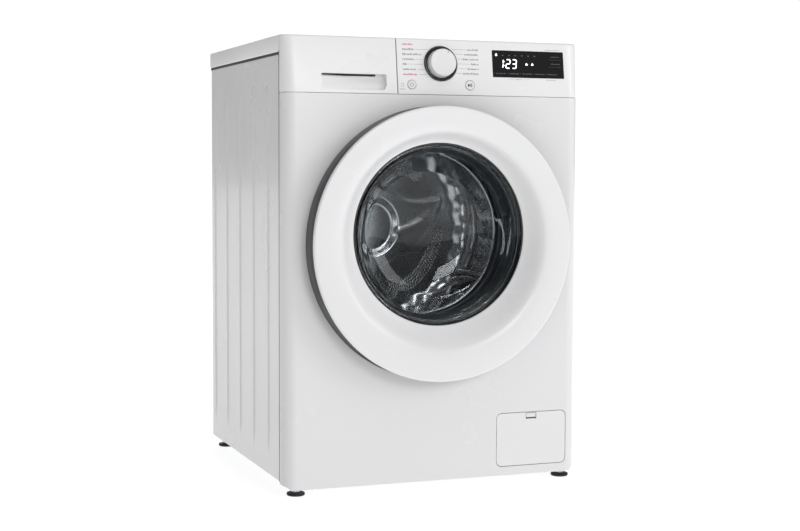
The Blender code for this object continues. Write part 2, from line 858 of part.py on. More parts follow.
def door():
    pivot = body("door", (HINGE_X, HINGE_Y, RING_Z))
    hang(pivot, door_frame(), glass_clamp(), door_glass(), door_inner_frame(), hinge_arm())
    hinge_bracket()
    rod(
        "hinge_pin",
        (HINGE_X, HINGE_Y, RING_Z - HINGE_HALF - 0.003),
        (HINGE_X, HINGE_Y, RING_Z + HINGE_HALF + 0.003),
        0.0025,
        STAINLESS,
    )
    door_hook()


def door_gasket():
    """The folded rubber boot between the door opening and the tub."""
    line = [
        (0.1900, 0.0107),
        (0.1752, 0.0107),
        (0.1740, 0.0030),
        (0.1660, 0.0040),
        (0.1570, 0.0250),
        (0.1850, 0.0420),
        (0.1850, 0.0530),
        (0.1640, 0.0600),
        (0.1640, 0.0745),
    ]
    half = 0.0012
    outer, inner = [], []
    for i, point in enumerate(line):
        before = Vector(line[max(i - 1, 0)])
        after = Vector(line[min(i + 1, len(line) - 1)])
        side = (after - before).normalized().orthogonal() * half
        outer.append((point[0] + side.x, FRONT + point[1] + side.y))
        inner.append((point[0] - side.x, FRONT + point[1] - side.y))
    return turned("door_gasket", outer + inner[::-1], RUBBER)


# ---------------------------------------------------------------- tub and suspension
def tub_front():
    """The front half of the tub, with its mouth and a sump below for the heater."""
    radius, wall = TUB_RADIUS, TUB_WALL
    profile = [
        (0.1690, FRONT + 0.0700),
        (0.1730, FRONT + 0.0700),
        (0.1730, FRONT + 0.0790),
        (radius, FRONT + 0.0850),
        (radius, FRONT + 0.2280),
        (radius + 0.006, FRONT + 0.2280),
        (radius + 0.006, FRONT + 0.2340),
        (radius - wall, FRONT + 0.2340),
        (radius - wall, FRONT + 0.0888),
        (0.1690, FRONT + 0.0830),
    ]
    tub = turned("tub_front", profile, TUB_PLASTIC)
    low, high = AXIS_Z - 0.272, AXIS_Z - 0.225
    sump = box("sump", (-0.075, FRONT + 0.0850, low), (0.075, FRONT + 0.2260, high))
    hollow = box(
        "sump_hollow",
        (-0.071, FRONT + 0.0890, low + 0.004),
        (0.071, FRONT + 0.2220, high + 0.01),
    )
    bore = turned("tub_bore", [
        (0, FRONT + 0.0890),
        (radius - wall - 0.0006, FRONT + 0.0890),
        (radius - wall - 0.0006, FRONT + 0.2300),
        (0, FRONT + 0.2300),
    ], TUB_PLASTIC)
    drain = rod("drain_hole", (0.03, FRONT + 0.18, low - 0.01), (0.03, FRONT + 0.18, low + 0.02), 0.015)
    heater_hole = box(
        "heater_hole",
        (-0.036, FRONT + 0.07, AXIS_Z - 0.2575),
        (0.036, FRONT + 0.10, AXIS_Z - 0.2455),
    )
    join(tub, sump)
    return cut(tub, hollow, bore, drain, heater_hole)


def heater():
    """A tubular element folded into a U, on the plate that closes its hole."""
    z, y_near, y_far, half = AXIS_Z - 0.2515, FRONT + 0.0800, FRONT + 0.2000, 0.028
    bend = [(x, y, z) for x, y in arc((0, y_far - half), half, 0, 180, 8)]
    element = tube("heater", [(half, y_near, z), *bend, (-half, y_near, z)], 0.0032, STAINLESS, 1)
    cover = box(
        "heater_plate",
        (-0.042, y_near - 0.0010, z - 0.010),
        (0.042, FRONT + 0.0838, z + 0.010),
    )
    return join(element, cover)


def tub_rear():
    """The rear half of the tub: back wall, ribs and the hub that holds both bearings."""
    radius, wall, start, end = TUB_RADIUS, TUB_WALL, FRONT + 0.2343, FRONT + 0.4300
    profile = [
        (radius - wall, start),
        (radius + 0.006, start),
        (radius + 0.006, start + 0.006),
        (radius, start + 0.006),
        (radius, end - 0.012),
        (radius - 0.012, end),
        (0.0450, end),
        (0.0400, end + 0.045),
        (0.0238, end + 0.045),
        (0.0238, end + 0.027),
        (0.0180, end + 0.027),
        (0.0180, end + 0.014),
        (0.0263, end + 0.014),
        (0.0263, end - 0.004),
        (radius - 0.014, end - 0.004),
        (radius - wall, end - 0.012),
    ]
    tub = turned("tub_rear", profile, TUB_PLASTIC)
    for side in (-1, 1):
        lug_z = SPRING_Z[0] - 0.006
        points = [
            (side * x, y, z)
            for x, z in ((0.212, 0.560), (0.222, 0.604), (0.276, lug_z), (0.276, lug_z - 0.014))
            for y in (SPRING_Y - 0.008, SPRING_Y + 0.008)
        ]
        join(tub, hull("spring_lug", points, TUB_PLASTIC))
        foot = box(
            "damper_lug",
            (side * DAMPER_X - 0.012, DAMPER_Y - 0.010, 0.300),
            (side * DAMPER_X + 0.012, DAMPER_Y + 0.010, 0.345),
        )
        join(tub, foot)
    bore = turned("rear_bore", [
        (0, start + 0.010),
        (radius - wall - 0.0005, start + 0.010),
        (radius - wall - 0.0005, end - 0.030),
        (0, end - 0.030),
    ], TUB_PLASTIC)
    return cut(tub, bore)


def bearing(name, inner, outer, start, width):
    profile = [(inner, start), (outer, start), (outer, start + width), (inner, start + width)]
    return turned(name, profile, STAINLESS, steps=24)


def counterweight():
    """The concrete half ring bolted to the top of the tub's front."""
    outline = arc((0, 0), 0.242, 12, 168, 16) + arc((0, 0), 0.192, 168, 12, 16)
    return plate(
        "counterweight",
        outline,
        0.034,
        CONCRETE,
        (0, FRONT + 0.0610, AXIS_Z),
        (math.pi / 2, 0, 0),
    )


def motor_stator():
    """The wound ring of the direct-drive motor, with a tooth for each coil."""
    start = FRONT + 0.4303
    core = turned("motor_stator", [
        (0.0470, start + 0.004),
        (0.0900, start + 0.004),
        (0.0900, start + 0.026),
        (0.0700, start + 0.026),
        (0.0700, start + 0.012),
        (0.0470, start + 0.012),
    ], COPPER)
    middle = Matrix.Translation((0, start + 0.015, AXIS_Z))
    for i in range(9):
        turn = Matrix.Rotation(math.radians(40 * i), 4, "Y")
        tooth = box("stator_tooth", (-0.014, -0.009, 0.085), (0.014, 0.009, 0.111), COPPER)
        tooth.matrix_world = middle @ turn @ Matrix.Translation(tooth.location)
        join(core, tooth)
    return core


def damper(side, name):
    """A friction damper: the cylinder stands on the base, the rod hangs from the tub."""
    x, y = side * DAMPER_X, DAMPER_Y
    cylinder = rod(
        "damper_cylinder_" + name,
        (x, y, BASE_Z[1] + GAP),
        (x, y, 0.190),
        0.0130,
        BLACK_PLASTIC,
        steps=16,
    )
    bore = rod("damper_bore", (x, y, 0.060), (x, y, 0.210), 0.0080, steps=16)
    cut(cylinder, bore)
    return rod("damper_rod_" + name, (x, y, 0.100), (x, y, 0.300 - GAP), 0.0060)


def suspension_spring(side, name):
    """A tension spring between the cabinet's bracket and the tub's lug."""
    low, high = SPRING_Z[0] - 0.0040, SPRING_Z[1] + 0.0020
    turns, per_turn, radius = 6, 8, 0.0085
    count = turns * per_turn
    points = []
    for i in range(count + 1):
        angle = 2 * math.pi * i / per_turn
        z = low + (high - low) * i / count
        x, y = side * SPRING_X + radius * math.cos(angle), SPRING_Y + radius * math.sin(angle)
        points.append((x, y, z))
    return tube("suspension_spring_" + name, points, 0.0016, ZINC, 0)


# ---------------------------------------------------------------- drum
def drum_shell():
    """The stainless drum: its cylinder and its back."""
    start, end, sheet = FRONT + 0.1003, FRONT + 0.3950, 0.0015
    profile = [
        (DRUM_RADIUS - sheet, start),
        (DRUM_RADIUS, start),
        (DRUM_RADIUS, end - 0.010),
        (DRUM_RADIUS - 0.010, end),
        (0.0900, end),
        (0.0600, end - 0.016),
        (0, end - 0.016),
        (0, end - 0.016 - sheet),
        (0.0606, end - 0.016 - sheet),
        (0.0906, end - sheet),
        (DRUM_RADIUS - 0.0106, end - sheet),
        (DRUM_RADIUS - sheet, end - 0.0106),
    ]
    return turned("drum_shell", profile, STAINLESS)


def drum_front():
    """The drum's front: a cone in to the mouth, with a rolled lip."""
    profile = [
        (MOUTH_RADIUS, FRONT + 0.0905),
        (MOUTH_RADIUS + 0.003, FRONT + 0.0880),
        (MOUTH_RADIUS + 0.006, FRONT + 0.0905),
        (DRUM_RADIUS - 0.008, FRONT + 0.0945),
        (DRUM_RADIUS, FRONT + 0.1000),
        (DRUM_RADIUS - 0.0015, FRONT + 0.1000),
        (DRUM_RADIUS - 0.0085, FRONT + 0.0962),
        (MOUTH_RADIUS + 0.006, FRONT + 0.0925),
        (MOUTH_RADIUS, FRONT + 0.0960),
    ]
    return turned("drum_front", profile, STAINLESS)


def drum_lifter(number):
    """One of the three paddles that lift the washing."""
    seat = DRUM_RADIUS - 0.0060
    points = [
        (x, y, z)
        for half, z, y_low, y_high in (
            (0.030, -seat, 0.125, 0.372),
            (0.016, -seat + 0.030, 0.132, 0.365),
            (0.005, -seat + 0.046, 0.142, 0.355),
        )
        for x in (-half, half)
        for y in (y_low, y_high)
    ]
    lifter = hull(f"drum_lifter_{number}", points, WHITE_PLASTIC)
    lifter.location = (0, FRONT, AXIS_Z)
    lifter.rotation_euler = (0, math.radians(120 * (number - 1) + 60), 0)
    return lifter


def drum_spider():
    """The cast three-armed bracket between the drum's back and its shaft."""
    start = FRONT + 0.3953
    spider = turned("drum_spider", [
        (0.0128, start),
        (0.0380, start),
        (0.0300, start + 0.0270),
        (0.0128, start + 0.0270),
    ], CAST_ALUMINIUM, steps=24)
    for i in range(3):
        turn = Matrix.Rotation(math.radians(120 * i), 4, "Y")
        points = [
            turn @ Vector((x, y, z))
            for half, deep, z in ((0.018, 0.020, 0.032), (0.011, 0.012, 0.215))
            for x in (-half, half)
            for y in (0.0, deep)
        ]
        arm = hull("spider_arm", points, CAST_ALUMINIUM)
        arm.location = (0, start, AXIS_Z)
        join(spider, arm)
    return spider


def drum_shaft():
    """The stepped steel shaft through both bearings."""
    start = FRONT + 0.3953
    profile = [
        (0, start),
        (0.0125, start),
        (0.0125, FRONT + 0.4595),
        (0.0100, FRONT + 0.4595),
        (0.0100, FRONT + 0.4880),
        (0, FRONT + 0.4880),
    ]
    return turned("drum_shaft", profile, STAINLESS, steps=20)


def motor_rotor():
    """The magnet cup on the end of the shaft, which turns around the stator."""
    start = FRONT + 0.4350
    profile = [
        (0.1140, start),
        (0.1180, start),
        (0.1180, start + 0.0440),
        (0.0550, start + 0.0500),
        (0.0103, start + 0.0500),
        (0.0103, start + 0.0430),
        (0.0500, start + 0.0430),
        (0.1140, start + 0.0400),
    ]
    return turned("motor_rotor", profile, ZINC)


def washing_unit():
    """Tub, suspension, drum and motor."""
    tub_pieces = [
        tub_front(),
        tub_rear(),
        heater(),
        counterweight(),
        motor_stator(),
        bearing("bearing_front", 0.0128, 0.0260, FRONT + 0.4295, 0.0142),
        bearing("bearing_rear", 0.0103, 0.0235, FRONT + 0.4600, 0.0140),
    ]
    for side, name in ((-1, "left"), (1, "right")):
        suspension_spring(side, name)
        tub_pieces.append(damper(side, name))
    tub_pivot = body("tub", (0, 0, AXIS_Z))
    hang(tub_pivot, *tub_pieces)
    drum_pivot = body("drum", (0, FRONT + 0.25, AXIS_Z))
    lifters = [drum_lifter(number) for number in (1, 2, 3)]
    hang(drum_pivot, drum_shell(), drum_front(), drum_spider(), drum_shaft(), motor_rotor(), *lifters)
    hang(tub_pivot, drum_pivot)


# ---------------------------------------------------------------- water, pump and feet
def pump_housing():
    """The drain pump: a filter chamber open to the front, the volute and a foot on the base."""
    start = FRONT + 0.034
    profile = [
        (0.0350, start),
        (0.0390, start),
        (0.0390, start + 0.0900),
        (0.0080, start + 0.0900),
        (0.0040, start + 0.0900),
        (0.0040, start + 0.0840),
        (0.0350, start + 0.0840),
    ]
    housing = turned("pump_housing", profile, BLACK_PLASTIC, (PUMP_X, 0, PUMP_Z), steps=20)
    base = box(
        "pump_foot",
        (PUMP_X - 0.02, start + 0.03, BASE_Z[1] + GAP),
        (PUMP_X + 0.02, start + 0.06, PUMP_Z - 0.037),
    )
    x, y = PUMP_X - 0.02, start + 0.03
    inlet = rod("pump_inlet", (x, y, PUMP_Z + 0.02), (x, y, 0.135), 0.0170)
    inlet_bore = rod("inlet_bore", (x, y, PUMP_Z), (x, y, 0.15), 0.0130)
    y = start + 0.07
    outlet = rod("pump_outlet", (PUMP_X, y, PUMP_Z), (PUMP_X + 0.050, y, PUMP_Z), 0.0120)
    outlet_bore = rod("outlet_bore", (PUMP_X, y, PUMP_Z), (PUMP_X + 0.070, y, PUMP_Z), 0.0090)
    chamber = rod(
        "chamber",
        (PUMP_X, start - 0.01, PUMP_Z),
        (PUMP_X, start + 0.0839, PUMP_Z),
        0.0345,
        steps=20,
    )
    join(housing, base, inlet, outlet)
    return cut(housing, inlet_bore, outlet_bore, chamber)


def pump_filter():
    """The lint filter: a screw cap with a grip bar, and a basket behind it."""
    start = FRONT + 0.0240
    cap = turned("pump_filter", [
        (0, start),
        (0.0400, start),
        (0.0400, start + 0.0090),
        (0.0300, start + 0.0090),
        (0.0300, start + 0.0560),
        (0.0260, start + 0.0560),
        (0.0260, start + 0.0140),
        (0, start + 0.0140),
    ], BLACK_PLASTIC, (PUMP_X, 0, PUMP_Z), steps=20)
    grip = box(
        "filter_grip",
        (PUMP_X - 0.006, FRONT + 0.0075, PUMP_Z - 0.030),
        (PUMP_X + 0.006, start + 0.002, PUMP_Z + 0.030),
        rounded=0.003,
        segments=2,
    )
    join(cap, grip)
    for i in range(2):
        size = (0.05, 0.008) if i else (0.008, 0.05)
        window = box(
            "filter_window",
            (PUMP_X - size[0], start + 0.0220, PUMP_Z - size[1]),
            (PUMP_X + size[0], start + 0.0500, PUMP_Z + size[1]),
        )
        cut(cap, window)
    hang(body("pump_filter", (PUMP_X, start, PUMP_Z)), cap)


def pump_impeller():
    """Four blades on a hub, with a short shaft in the housing's back wall."""
    start = FRONT + 0.0900
    impeller = turned("pump_impeller", [
        (0, start),
        (0.0070, start),
        (0.0070, start + 0.0210),
        (0.0200, start + 0.0210),
        (0.0200, start + 0.0240),
        (0.0033, start + 0.0240),
        (0.0033, start + 0.0330),
        (0, start + 0.0330),
    ], GREY_PLASTIC, (PUMP_X, 0, PUMP_Z), steps=20)
    for size in ((0.0190, 0.0015), (0.0015, 0.0190)):
        blade = box(
            "impeller_blade",
            (PUMP_X - size[0], start + 0.0040, PUMP_Z - size[1]),
            (PUMP_X + size[0], start + 0.0220, PUMP_Z + size[1]),
        )
        join(impeller, blade)
    hang(body("pump_impeller", (PUMP_X, start, PUMP_Z)), impeller)


def hose_path(route, count):
    """A smooth path through a route, with its first and last stretches left straight."""
    return [route[0], *smooth_path(route[1:-1], count), route[-1]]


def hoses():
    """The bellows from the sump to the pump, and the drain hose up to the back."""
    start = FRONT + 0.034
    route = [
        (0.030, FRONT + 0.180, AXIS_Z - 0.2730),
        (0.030, FRONT + 0.180, 0.200),
        (0.055, FRONT + 0.165, 0.182),
        (0.150, FRONT + 0.085, 0.172),
        (PUMP_X - 0.02, start + 0.03, 0.158),
        (PUMP_X - 0.02, start + 0.03, 0.1360),
    ]
    tube("sump_hose", hose_path(route, 12), 0.0150, HOSE_RUBBER, 2)
    rise_y = BACK - 0.030
    drain = [
        (PUMP_X + 0.0508, start + 0.07, PUMP_Z),
        (0.263, start + 0.07, PUMP_Z),
        (0.276, start + 0.10, PUMP_Z - 0.004),
        (0.276, start + 0.20, PUMP_Z - 0.02),
        (0.270, rise_y - 0.04, PUMP_Z - 0.01),
        (0.240, rise_y, 0.120),
        (0.0, rise_y, 0.150),
        (-0.215, rise_y, 0.190),
        (-0.235, rise_y, 0.320),
        (-0.235, rise_y, 0.700),
        (-0.235, rise_y + 0.004, 0.730),
        (-0.235, BACK - 0.0160, 0.740),
        (-0.235, BACK - 0.0010, 0.740),
    ]
    tube("drain_hose", hose_path(drain, 30), 0.0100, HOSE_RUBBER, 1)


def inlet_valve():
    """The solenoid valve: its plate closes the rear panel's window, and its threaded port stands in it."""
    valve = box(
        "inlet_valve",
        (0.180, BACK - 0.060, 0.760),
        (0.230, BACK - 0.004, 0.800),
        rounded=0.003,
        segments=1,
    )
    plate = box("valve_plate", (0.172, BACK - 0.0052, 0.747), (0.238, BACK - 0.0028, 0.813))
    coil = rod("valve_coil", (0.205, BACK - 0.040, 0.795), (0.205, BACK - 0.040, 0.8175), 0.012)
    port = rod("valve_port", (0.205, BACK - 0.010, 0.780), (0.205, BACK - 0.0005, 0.780), 0.0132, steps=20)
    bore = rod("valve_bore", (0.205, BACK - 0.020, 0.780), (0.205, BACK + 0.010, 0.780), 0.0100, steps=16)
    join(valve, plate, coil, port)
    return cut(valve, bore)


def mains_inlet():
    """The mains entry: a bushing through the rear panel and the filter block behind it."""
    z = 0.640
    block = box(
        "mains_inlet",
        (-0.262, BACK - 0.045, z - 0.025),
        (-0.255, BACK - 0.004, z + 0.025),
        BLACK_PLASTIC,
    )
    shelf = box("mains_flange", (-0.258, BACK - 0.012, z - 0.020), (-0.215, BACK - 0.004, z + 0.020))
    bush = rod("mains_bush", (-0.235, BACK - 0.010, z), (-0.235, BACK - 0.0005, z), 0.0118, steps=20)
    bore = rod("mains_bore", (-0.235, BACK - 0.020, z), (-0.235, BACK + 0.010, z), 0.0045)
    join(block, shelf, bush)
    return cut(block, bore)


def filter_flap():
    """The service flap: it swings down about its lower front edge and clips at the top."""
    panel = box(
        "filter_flap",
        (FLAP_X[0], FRONT + 0.0002, FLAP_Z[0]),
        (FLAP_X[1], FRONT + FLAP_SHEET, FLAP_Z[1]),
        WHITE_PLASTIC,
        rounded=0.007,
        pick=along(1),
    )
    latch_x = (0.190, 0.2125)
    notch = box(
        "latch_notch",
        (latch_x[0], FRONT - 0.01, FLAP_Z[1] - 0.0130),
        (latch_x[1], FRONT + 0.0018, FLAP_Z[1] - 0.0105),
    )
    clip = box(
        "latch_clip",
        (latch_x[0] + 0.003, FRONT + 0.0025, FLAP_Z[1] - 0.0100),
        (latch_x[1] - 0.003, FRONT + 0.0065, FLAP_Z[1] - 0.0020),
    )
    join(panel, clip)
    cut(panel, notch)
    hang(body("filter_flap", (sum(FLAP_X) / 2, FRONT + 0.0006, FLAP_Z[0] + 0.0005)), panel)


def foot(name, x, y):
    """A levelling foot: a pad on the floor and the screw that holds the cabinet up."""
    profile = [
        (0, 0),
        (FOOT_RADIUS - 0.002, 0),
        (FOOT_RADIUS, 0.002),
        (FOOT_RADIUS, FOOT_THICKNESS - 0.003),
        (FOOT_RADIUS - 0.004, FOOT_THICKNESS - 0.0006),
        (0.0050, FOOT_THICKNESS),
        (0.0050, 0.0480),
        (0, 0.0480),
    ]
    made = turned(name, profile, BLACK_PLASTIC, (x, y, 0), (0, 0, 0), steps=16)
    hang(body(name, (x, y, 0)), made)


# ---------------------------------------------------------------- the machine
base_pan()
side_panel("side_panel_left", -1)
side_panel("side_panel_right", 1)
rear_panel()
rear_cover()
worktop()
front_panel()
door_lock()

control_panel()
knob_bezel()
display_window()
program_knob()
push_button("power_button", POWER_X, POWER_Z, POWER_RADIUS)
push_button("start_button", START_X, START_Z, START_RADIUS)
power_board()

dispenser_housing()
hang(body("drawer", (0, FRONT, TRAY_Z[0])), drawer_front(), drawer_tray())

door()
door_gasket()
washing_unit()

pump_housing()
pump_filter()
pump_impeller()
hoses()
inlet_valve()
mains_inlet()
filter_flap()
for foot_side, foot_x in (("left", -FOOT_X), ("right", FOOT_X)):
    for foot_end, foot_y in zip(("front", "rear"), FOOT_Y):
        foot(f"foot_{foot_end}_{foot_side}", foot_x, foot_y)
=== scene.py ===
"""Looks of the front-loading washing machine: fine meshes, materials, light and camera.

Depths written as at(d) are measured back from the front panel's face, in metres, and every piece lies where
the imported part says. Pieces that the frame already shapes well keep their mesh and get only a material.
"""

import json
import math
import random

import bmesh
import bpy
from mathutils import Matrix, Vector


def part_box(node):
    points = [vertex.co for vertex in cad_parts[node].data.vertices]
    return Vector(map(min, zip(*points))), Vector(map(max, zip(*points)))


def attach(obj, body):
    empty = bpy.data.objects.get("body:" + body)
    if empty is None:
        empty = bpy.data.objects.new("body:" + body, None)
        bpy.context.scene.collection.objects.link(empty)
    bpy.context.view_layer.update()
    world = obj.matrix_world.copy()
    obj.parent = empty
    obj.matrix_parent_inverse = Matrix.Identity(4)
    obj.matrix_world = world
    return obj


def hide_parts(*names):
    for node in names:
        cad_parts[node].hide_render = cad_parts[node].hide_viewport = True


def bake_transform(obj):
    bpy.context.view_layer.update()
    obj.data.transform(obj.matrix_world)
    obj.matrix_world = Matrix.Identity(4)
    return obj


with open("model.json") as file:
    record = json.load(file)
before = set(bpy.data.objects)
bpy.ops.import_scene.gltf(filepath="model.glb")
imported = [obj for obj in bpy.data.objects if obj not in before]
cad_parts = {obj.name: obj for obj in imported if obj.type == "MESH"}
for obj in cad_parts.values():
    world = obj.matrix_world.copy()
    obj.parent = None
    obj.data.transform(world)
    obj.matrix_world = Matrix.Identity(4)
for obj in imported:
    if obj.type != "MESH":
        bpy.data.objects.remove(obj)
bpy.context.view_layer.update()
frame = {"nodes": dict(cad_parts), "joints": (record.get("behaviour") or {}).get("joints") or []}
JOINTS = {joint["name"]: joint for joint in frame["joints"]}


# ---------------------------------------------------------------- driving sizes, read from the frame
def middle(node):
    """The middle of a node's box."""
    low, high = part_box(node)
    return (low + high) / 2


PANEL_LOW, PANEL_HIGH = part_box("front_panel")
TOP_LOW, TOP_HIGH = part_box("worktop")
FLAP_LOW, FLAP_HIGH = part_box("filter_flap")
TRAY_LOW, TRAY_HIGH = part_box("drawer_tray")
SCREEN_LOW, SCREEN_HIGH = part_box("display_window")
FRONT, SEAM = PANEL_LOW.y, PANEL_HIGH.y + 0.005
SEAM_GAP = 0.0045
RECESS_DEPTH = 0.0065
BACK = TOP_HIGH.y
HALF_WIDTH = PANEL_HIGH.x
HEIGHT = TOP_HIGH.z
FASCIA_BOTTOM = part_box("control_panel")[0].z
CORNER_RADIUS = 0.0258
RING_Z = middle("door_frame").z
RING_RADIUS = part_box("door_frame")[1].x
AXIS_Z = middle("door_glass").z
DRUM_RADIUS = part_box("drum_shell")[1].x
HOOK = Vector(JOINTS["door_hook_pivot"]["pos_m"])
KNOB = Vector(JOINTS["knob_turn"]["pos_m"])
PANEL_OUT = Vector(JOINTS["knob_turn"]["axis"])
LEAN = math.atan2(PANEL_OUT.z, -PANEL_OUT.y)
DRAWER_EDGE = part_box("drawer_front")[1].x
PANEL_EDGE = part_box("control_panel")[0].x
WINDOW_RADIUS = 0.172
SCREEN_MIDDLE = middle("display_window") - Vector((0.0004, 0, 0.0002))
SCREEN_SPAN = SCREEN_HIGH - SCREEN_LOW
SCREEN_HALF = Vector((SCREEN_SPAN.x / 2 + 0.0008, SCREEN_SPAN.z / 2 + 0.0010))

random.seed(7)


def at(depth):
    """The y of a depth behind the front panel's face."""
    return FRONT + depth


def on_panel(x, z, out=0.0):
    """A matrix with its origin on the leaning control panel, X along it, Y up it and Z out of it."""
    depth = (z - FASCIA_BOTTOM) * math.tan(LEAN)
    place = Vector((x, at(depth), z)) + out * PANEL_OUT
    return Matrix.Translation(place) @ Matrix.Rotation(math.pi / 2 - LEAN, 4, "X")


def axis_y(x=0.0, z=AXIS_Z):
    """A matrix that lays a turned shape's axis along Y, with its heights as world y."""
    return Matrix.Translation((x, 0, z)) @ Matrix.Rotation(-math.pi / 2, 4, "X")


def smooth(share):
    """A share from 0 to 1 eased at both ends."""
    share = min(max(share, 0.0), 1.0)
    return share * share * (3 - 2 * share)


# ---------------------------------------------------------------- materials
def round_axis(nodes, links, coords):
    """Coordinates that hold only the distance from the drum's axis and the place along it."""
    moved = nodes.new("ShaderNodeVectorMath")
    moved.operation = "SUBTRACT"
    moved.inputs[1].default_value = (0, 0, AXIS_Z)
    links.new(coords, moved.inputs[0])
    flat = nodes.new("ShaderNodeVectorMath")
    flat.operation = "MULTIPLY"
    flat.inputs[1].default_value = (1, 0, 1)
    links.new(moved.outputs[0], flat.inputs[0])
    radius = nodes.new("ShaderNodeVectorMath")
    radius.operation = "LENGTH"
    links.new(flat.outputs[0], radius.inputs[0])
    split = nodes.new("ShaderNodeSeparateXYZ")
    links.new(coords, split.inputs[0])
    joined = nodes.new("ShaderNodeCombineXYZ")
    links.new(radius.outputs["Value"], joined.inputs[0])
    links.new(split.outputs["Y"], joined.inputs[1])
    return joined.outputs[0]


def material(name, colour, roughness, metallic=0.0, shade=0.03, blotch=5.0, polish=0.05, grain=900.0,
             height=0.00001, stretch=(1, 1, 1), ringed=False, cells=None, **sockets):
    """A Principled material. Colour and roughness drift over blotch-sized noise, and a fine grain gives the
    height. ringed runs the grain round the drum's axis, and cells adds crystals or pits of that scale."""
    made = bpy.data.materials.new(name)
    made.use_nodes = True
    nodes, links = made.node_tree.nodes, made.node_tree.links
    shader = nodes["Principled BSDF"]
    shader.inputs["Metallic"].default_value = metallic
    for socket, value in sockets.items():
        shader.inputs[socket.replace("_", " ")].default_value = value

    coords = nodes.new("ShaderNodeTexCoord").outputs["Object"]
    fine_coords = coords
    if ringed:
        fine_coords = round_axis(nodes, links, coords)
    scaled = nodes.new("ShaderNodeMapping")
    scaled.inputs["Scale"].default_value = stretch
    links.new(fine_coords, scaled.inputs["Vector"])

    def noise(scale, detail, source):
        made_noise = nodes.new("ShaderNodeTexNoise")
        made_noise.inputs["Scale"].default_value = scale
        made_noise.inputs["Detail"].default_value = detail
        links.new(source, made_noise.inputs["Vector"])
        return made_noise.outputs["Fac"]

    large = noise(blotch, 3, coords)
    fine = noise(grain, 4, scaled.outputs[0])
    colours = nodes.new("ShaderNodeMix")
    colours.data_type = "RGBA"
    colours.inputs["A"].default_value = (*[c * (1 - shade) for c in colour], 1)
    colours.inputs["B"].default_value = (*[min(c * (1 + shade), 1) for c in colour], 1)
    drift = large
    if cells:
        crystals = nodes.new("ShaderNodeTexVoronoi")
        crystals.inputs["Scale"].default_value = cells
        links.new(coords, crystals.inputs["Vector"])
        grey = nodes.new("ShaderNodeSeparateXYZ")
        links.new(crystals.outputs["Color"], grey.inputs[0])
        drift = grey.outputs["X"]
    links.new(drift, colours.inputs["Factor"])
    links.new(colours.outputs["Result"], shader.inputs["Base Color"])
    rough = nodes.new("ShaderNodeMapRange")
    rough.inputs["From Min"].default_value = 0.3
    rough.inputs["From Max"].default_value = 0.7
    rough.inputs["To Min"].default_value = max(roughness - polish, 0.0)
    rough.inputs["To Max"].default_value = roughness + polish
    links.new(large if not cells else drift, rough.inputs["Value"])
    links.new(rough.outputs["Result"], shader.inputs["Roughness"])
    bump = nodes.new("ShaderNodeBump")
    bump.inputs["Distance"].default_value = height
    bump.inputs["Strength"].default_value = 1.0
    links.new(fine, bump.inputs["Height"])
    links.new(bump.outputs["Normal"], shader.inputs["Normal"])
    return made


ENAMEL = material("white_enamel", (0.81, 0.81, 0.82), 0.24, shade=0.010, grain=420, height=0.000012,
                  Coat_Weight=0.25, Coat_Roughness=0.08)
LAMINATE = material("white_laminate", (0.90, 0.90, 0.905), 0.36, shade=0.012, grain=1600, height=0.000025)
ABS = material("white_abs", (0.84, 0.84, 0.85), 0.30, shade=0.008, grain=2200, height=0.000006)
# Painted light: a slightly lighter copy of the white plastic, to brighten the leaning control panel and the
# drawer's face.
FASCIA_ABS_LIT = material("fascia_abs_painted_light", (0.86, 0.86, 0.865), 0.30, shade=0.008, grain=2200, height=0.000006)
KNOB_ABS = material("knob_abs", (0.80, 0.80, 0.81), 0.34, shade=0.010, grain=2600, height=0.000010)
POLYPROPYLENE = material("white_polypropylene", (0.76, 0.77, 0.78), 0.42, shade=0.020, grain=1300,
                         height=0.000020, Subsurface_Weight=0.05)
# Near-black grey plastic for the door's inner frame, lock and impeller; on the door's back it is also painted
# shade (see door_back).
GREY_ABS_AND_SHADE = material("dark_grey_abs_and_shade", (0.030, 0.032, 0.035), 0.42, shade=0.10, grain=2400, height=0.000030)
# Black plastic for the real black parts; the same black is painted shade where it fills the seams, the
# drawer's grip slot and the flap's latch pocket.
BLACK_ABS_AND_SHADE = material("black_abs_and_shade", (0.014, 0.014, 0.015), 0.45, shade=0.20, grain=2000, height=0.000030)
# Painted shade: a grey that stands for the shade on the floor of the door's recess and behind the hinge.
SHADOW_GREY = material("recess_shade_ring", (0.34, 0.34, 0.345), 0.55, shade=0.10, grain=1800, height=0.000020)
BLUE_CAP = material("siphon_blue", (0.10, 0.30, 0.62), 0.40, shade=0.05, grain=1500, height=0.00001)
BLACK_GLOSS = material("polished_black", (0.006, 0.006, 0.007), 0.07, shade=0.15, grain=1500,
                       height=0.000002, polish=0.02, Coat_Weight=0.5, Coat_Roughness=0.03)
SCREEN = material("screen_black", (0.004, 0.004, 0.005), 0.10, shade=0.10, grain=1500, height=0.000001,
                  polish=0.02)
GASKET = material("gasket_rubber", (0.040, 0.046, 0.053), 0.36, shade=0.14, blotch=9, grain=700,
                  height=0.000030, polish=0.08)
RUBBER = material("black_rubber", (0.013, 0.013, 0.014), 0.55, shade=0.25, blotch=14, grain=900,
                  height=0.000050)
GLASS = material("pressed_glass", (0.90, 0.935, 0.95), 0.012, shade=0.01, grain=30, height=0.000020,
                 polish=0.010, Transmission_Weight=1.0, IOR=1.50,
                 Specular_Tint=(0.35, 0.35, 0.35, 1.0))
DRUM_STEEL = material("drum_steel", (0.42, 0.425, 0.435), 0.24, 1.0, shade=0.06, blotch=7, polish=0.07,
                      grain=900, height=0.0000008, ringed=True)
LIFTER_STEEL = material("lifter_steel", (0.36, 0.365, 0.37), 0.16, 1.0, shade=0.05, blotch=10,
                        grain=1200, height=0.0000010, stretch=(1, 0.05, 1))
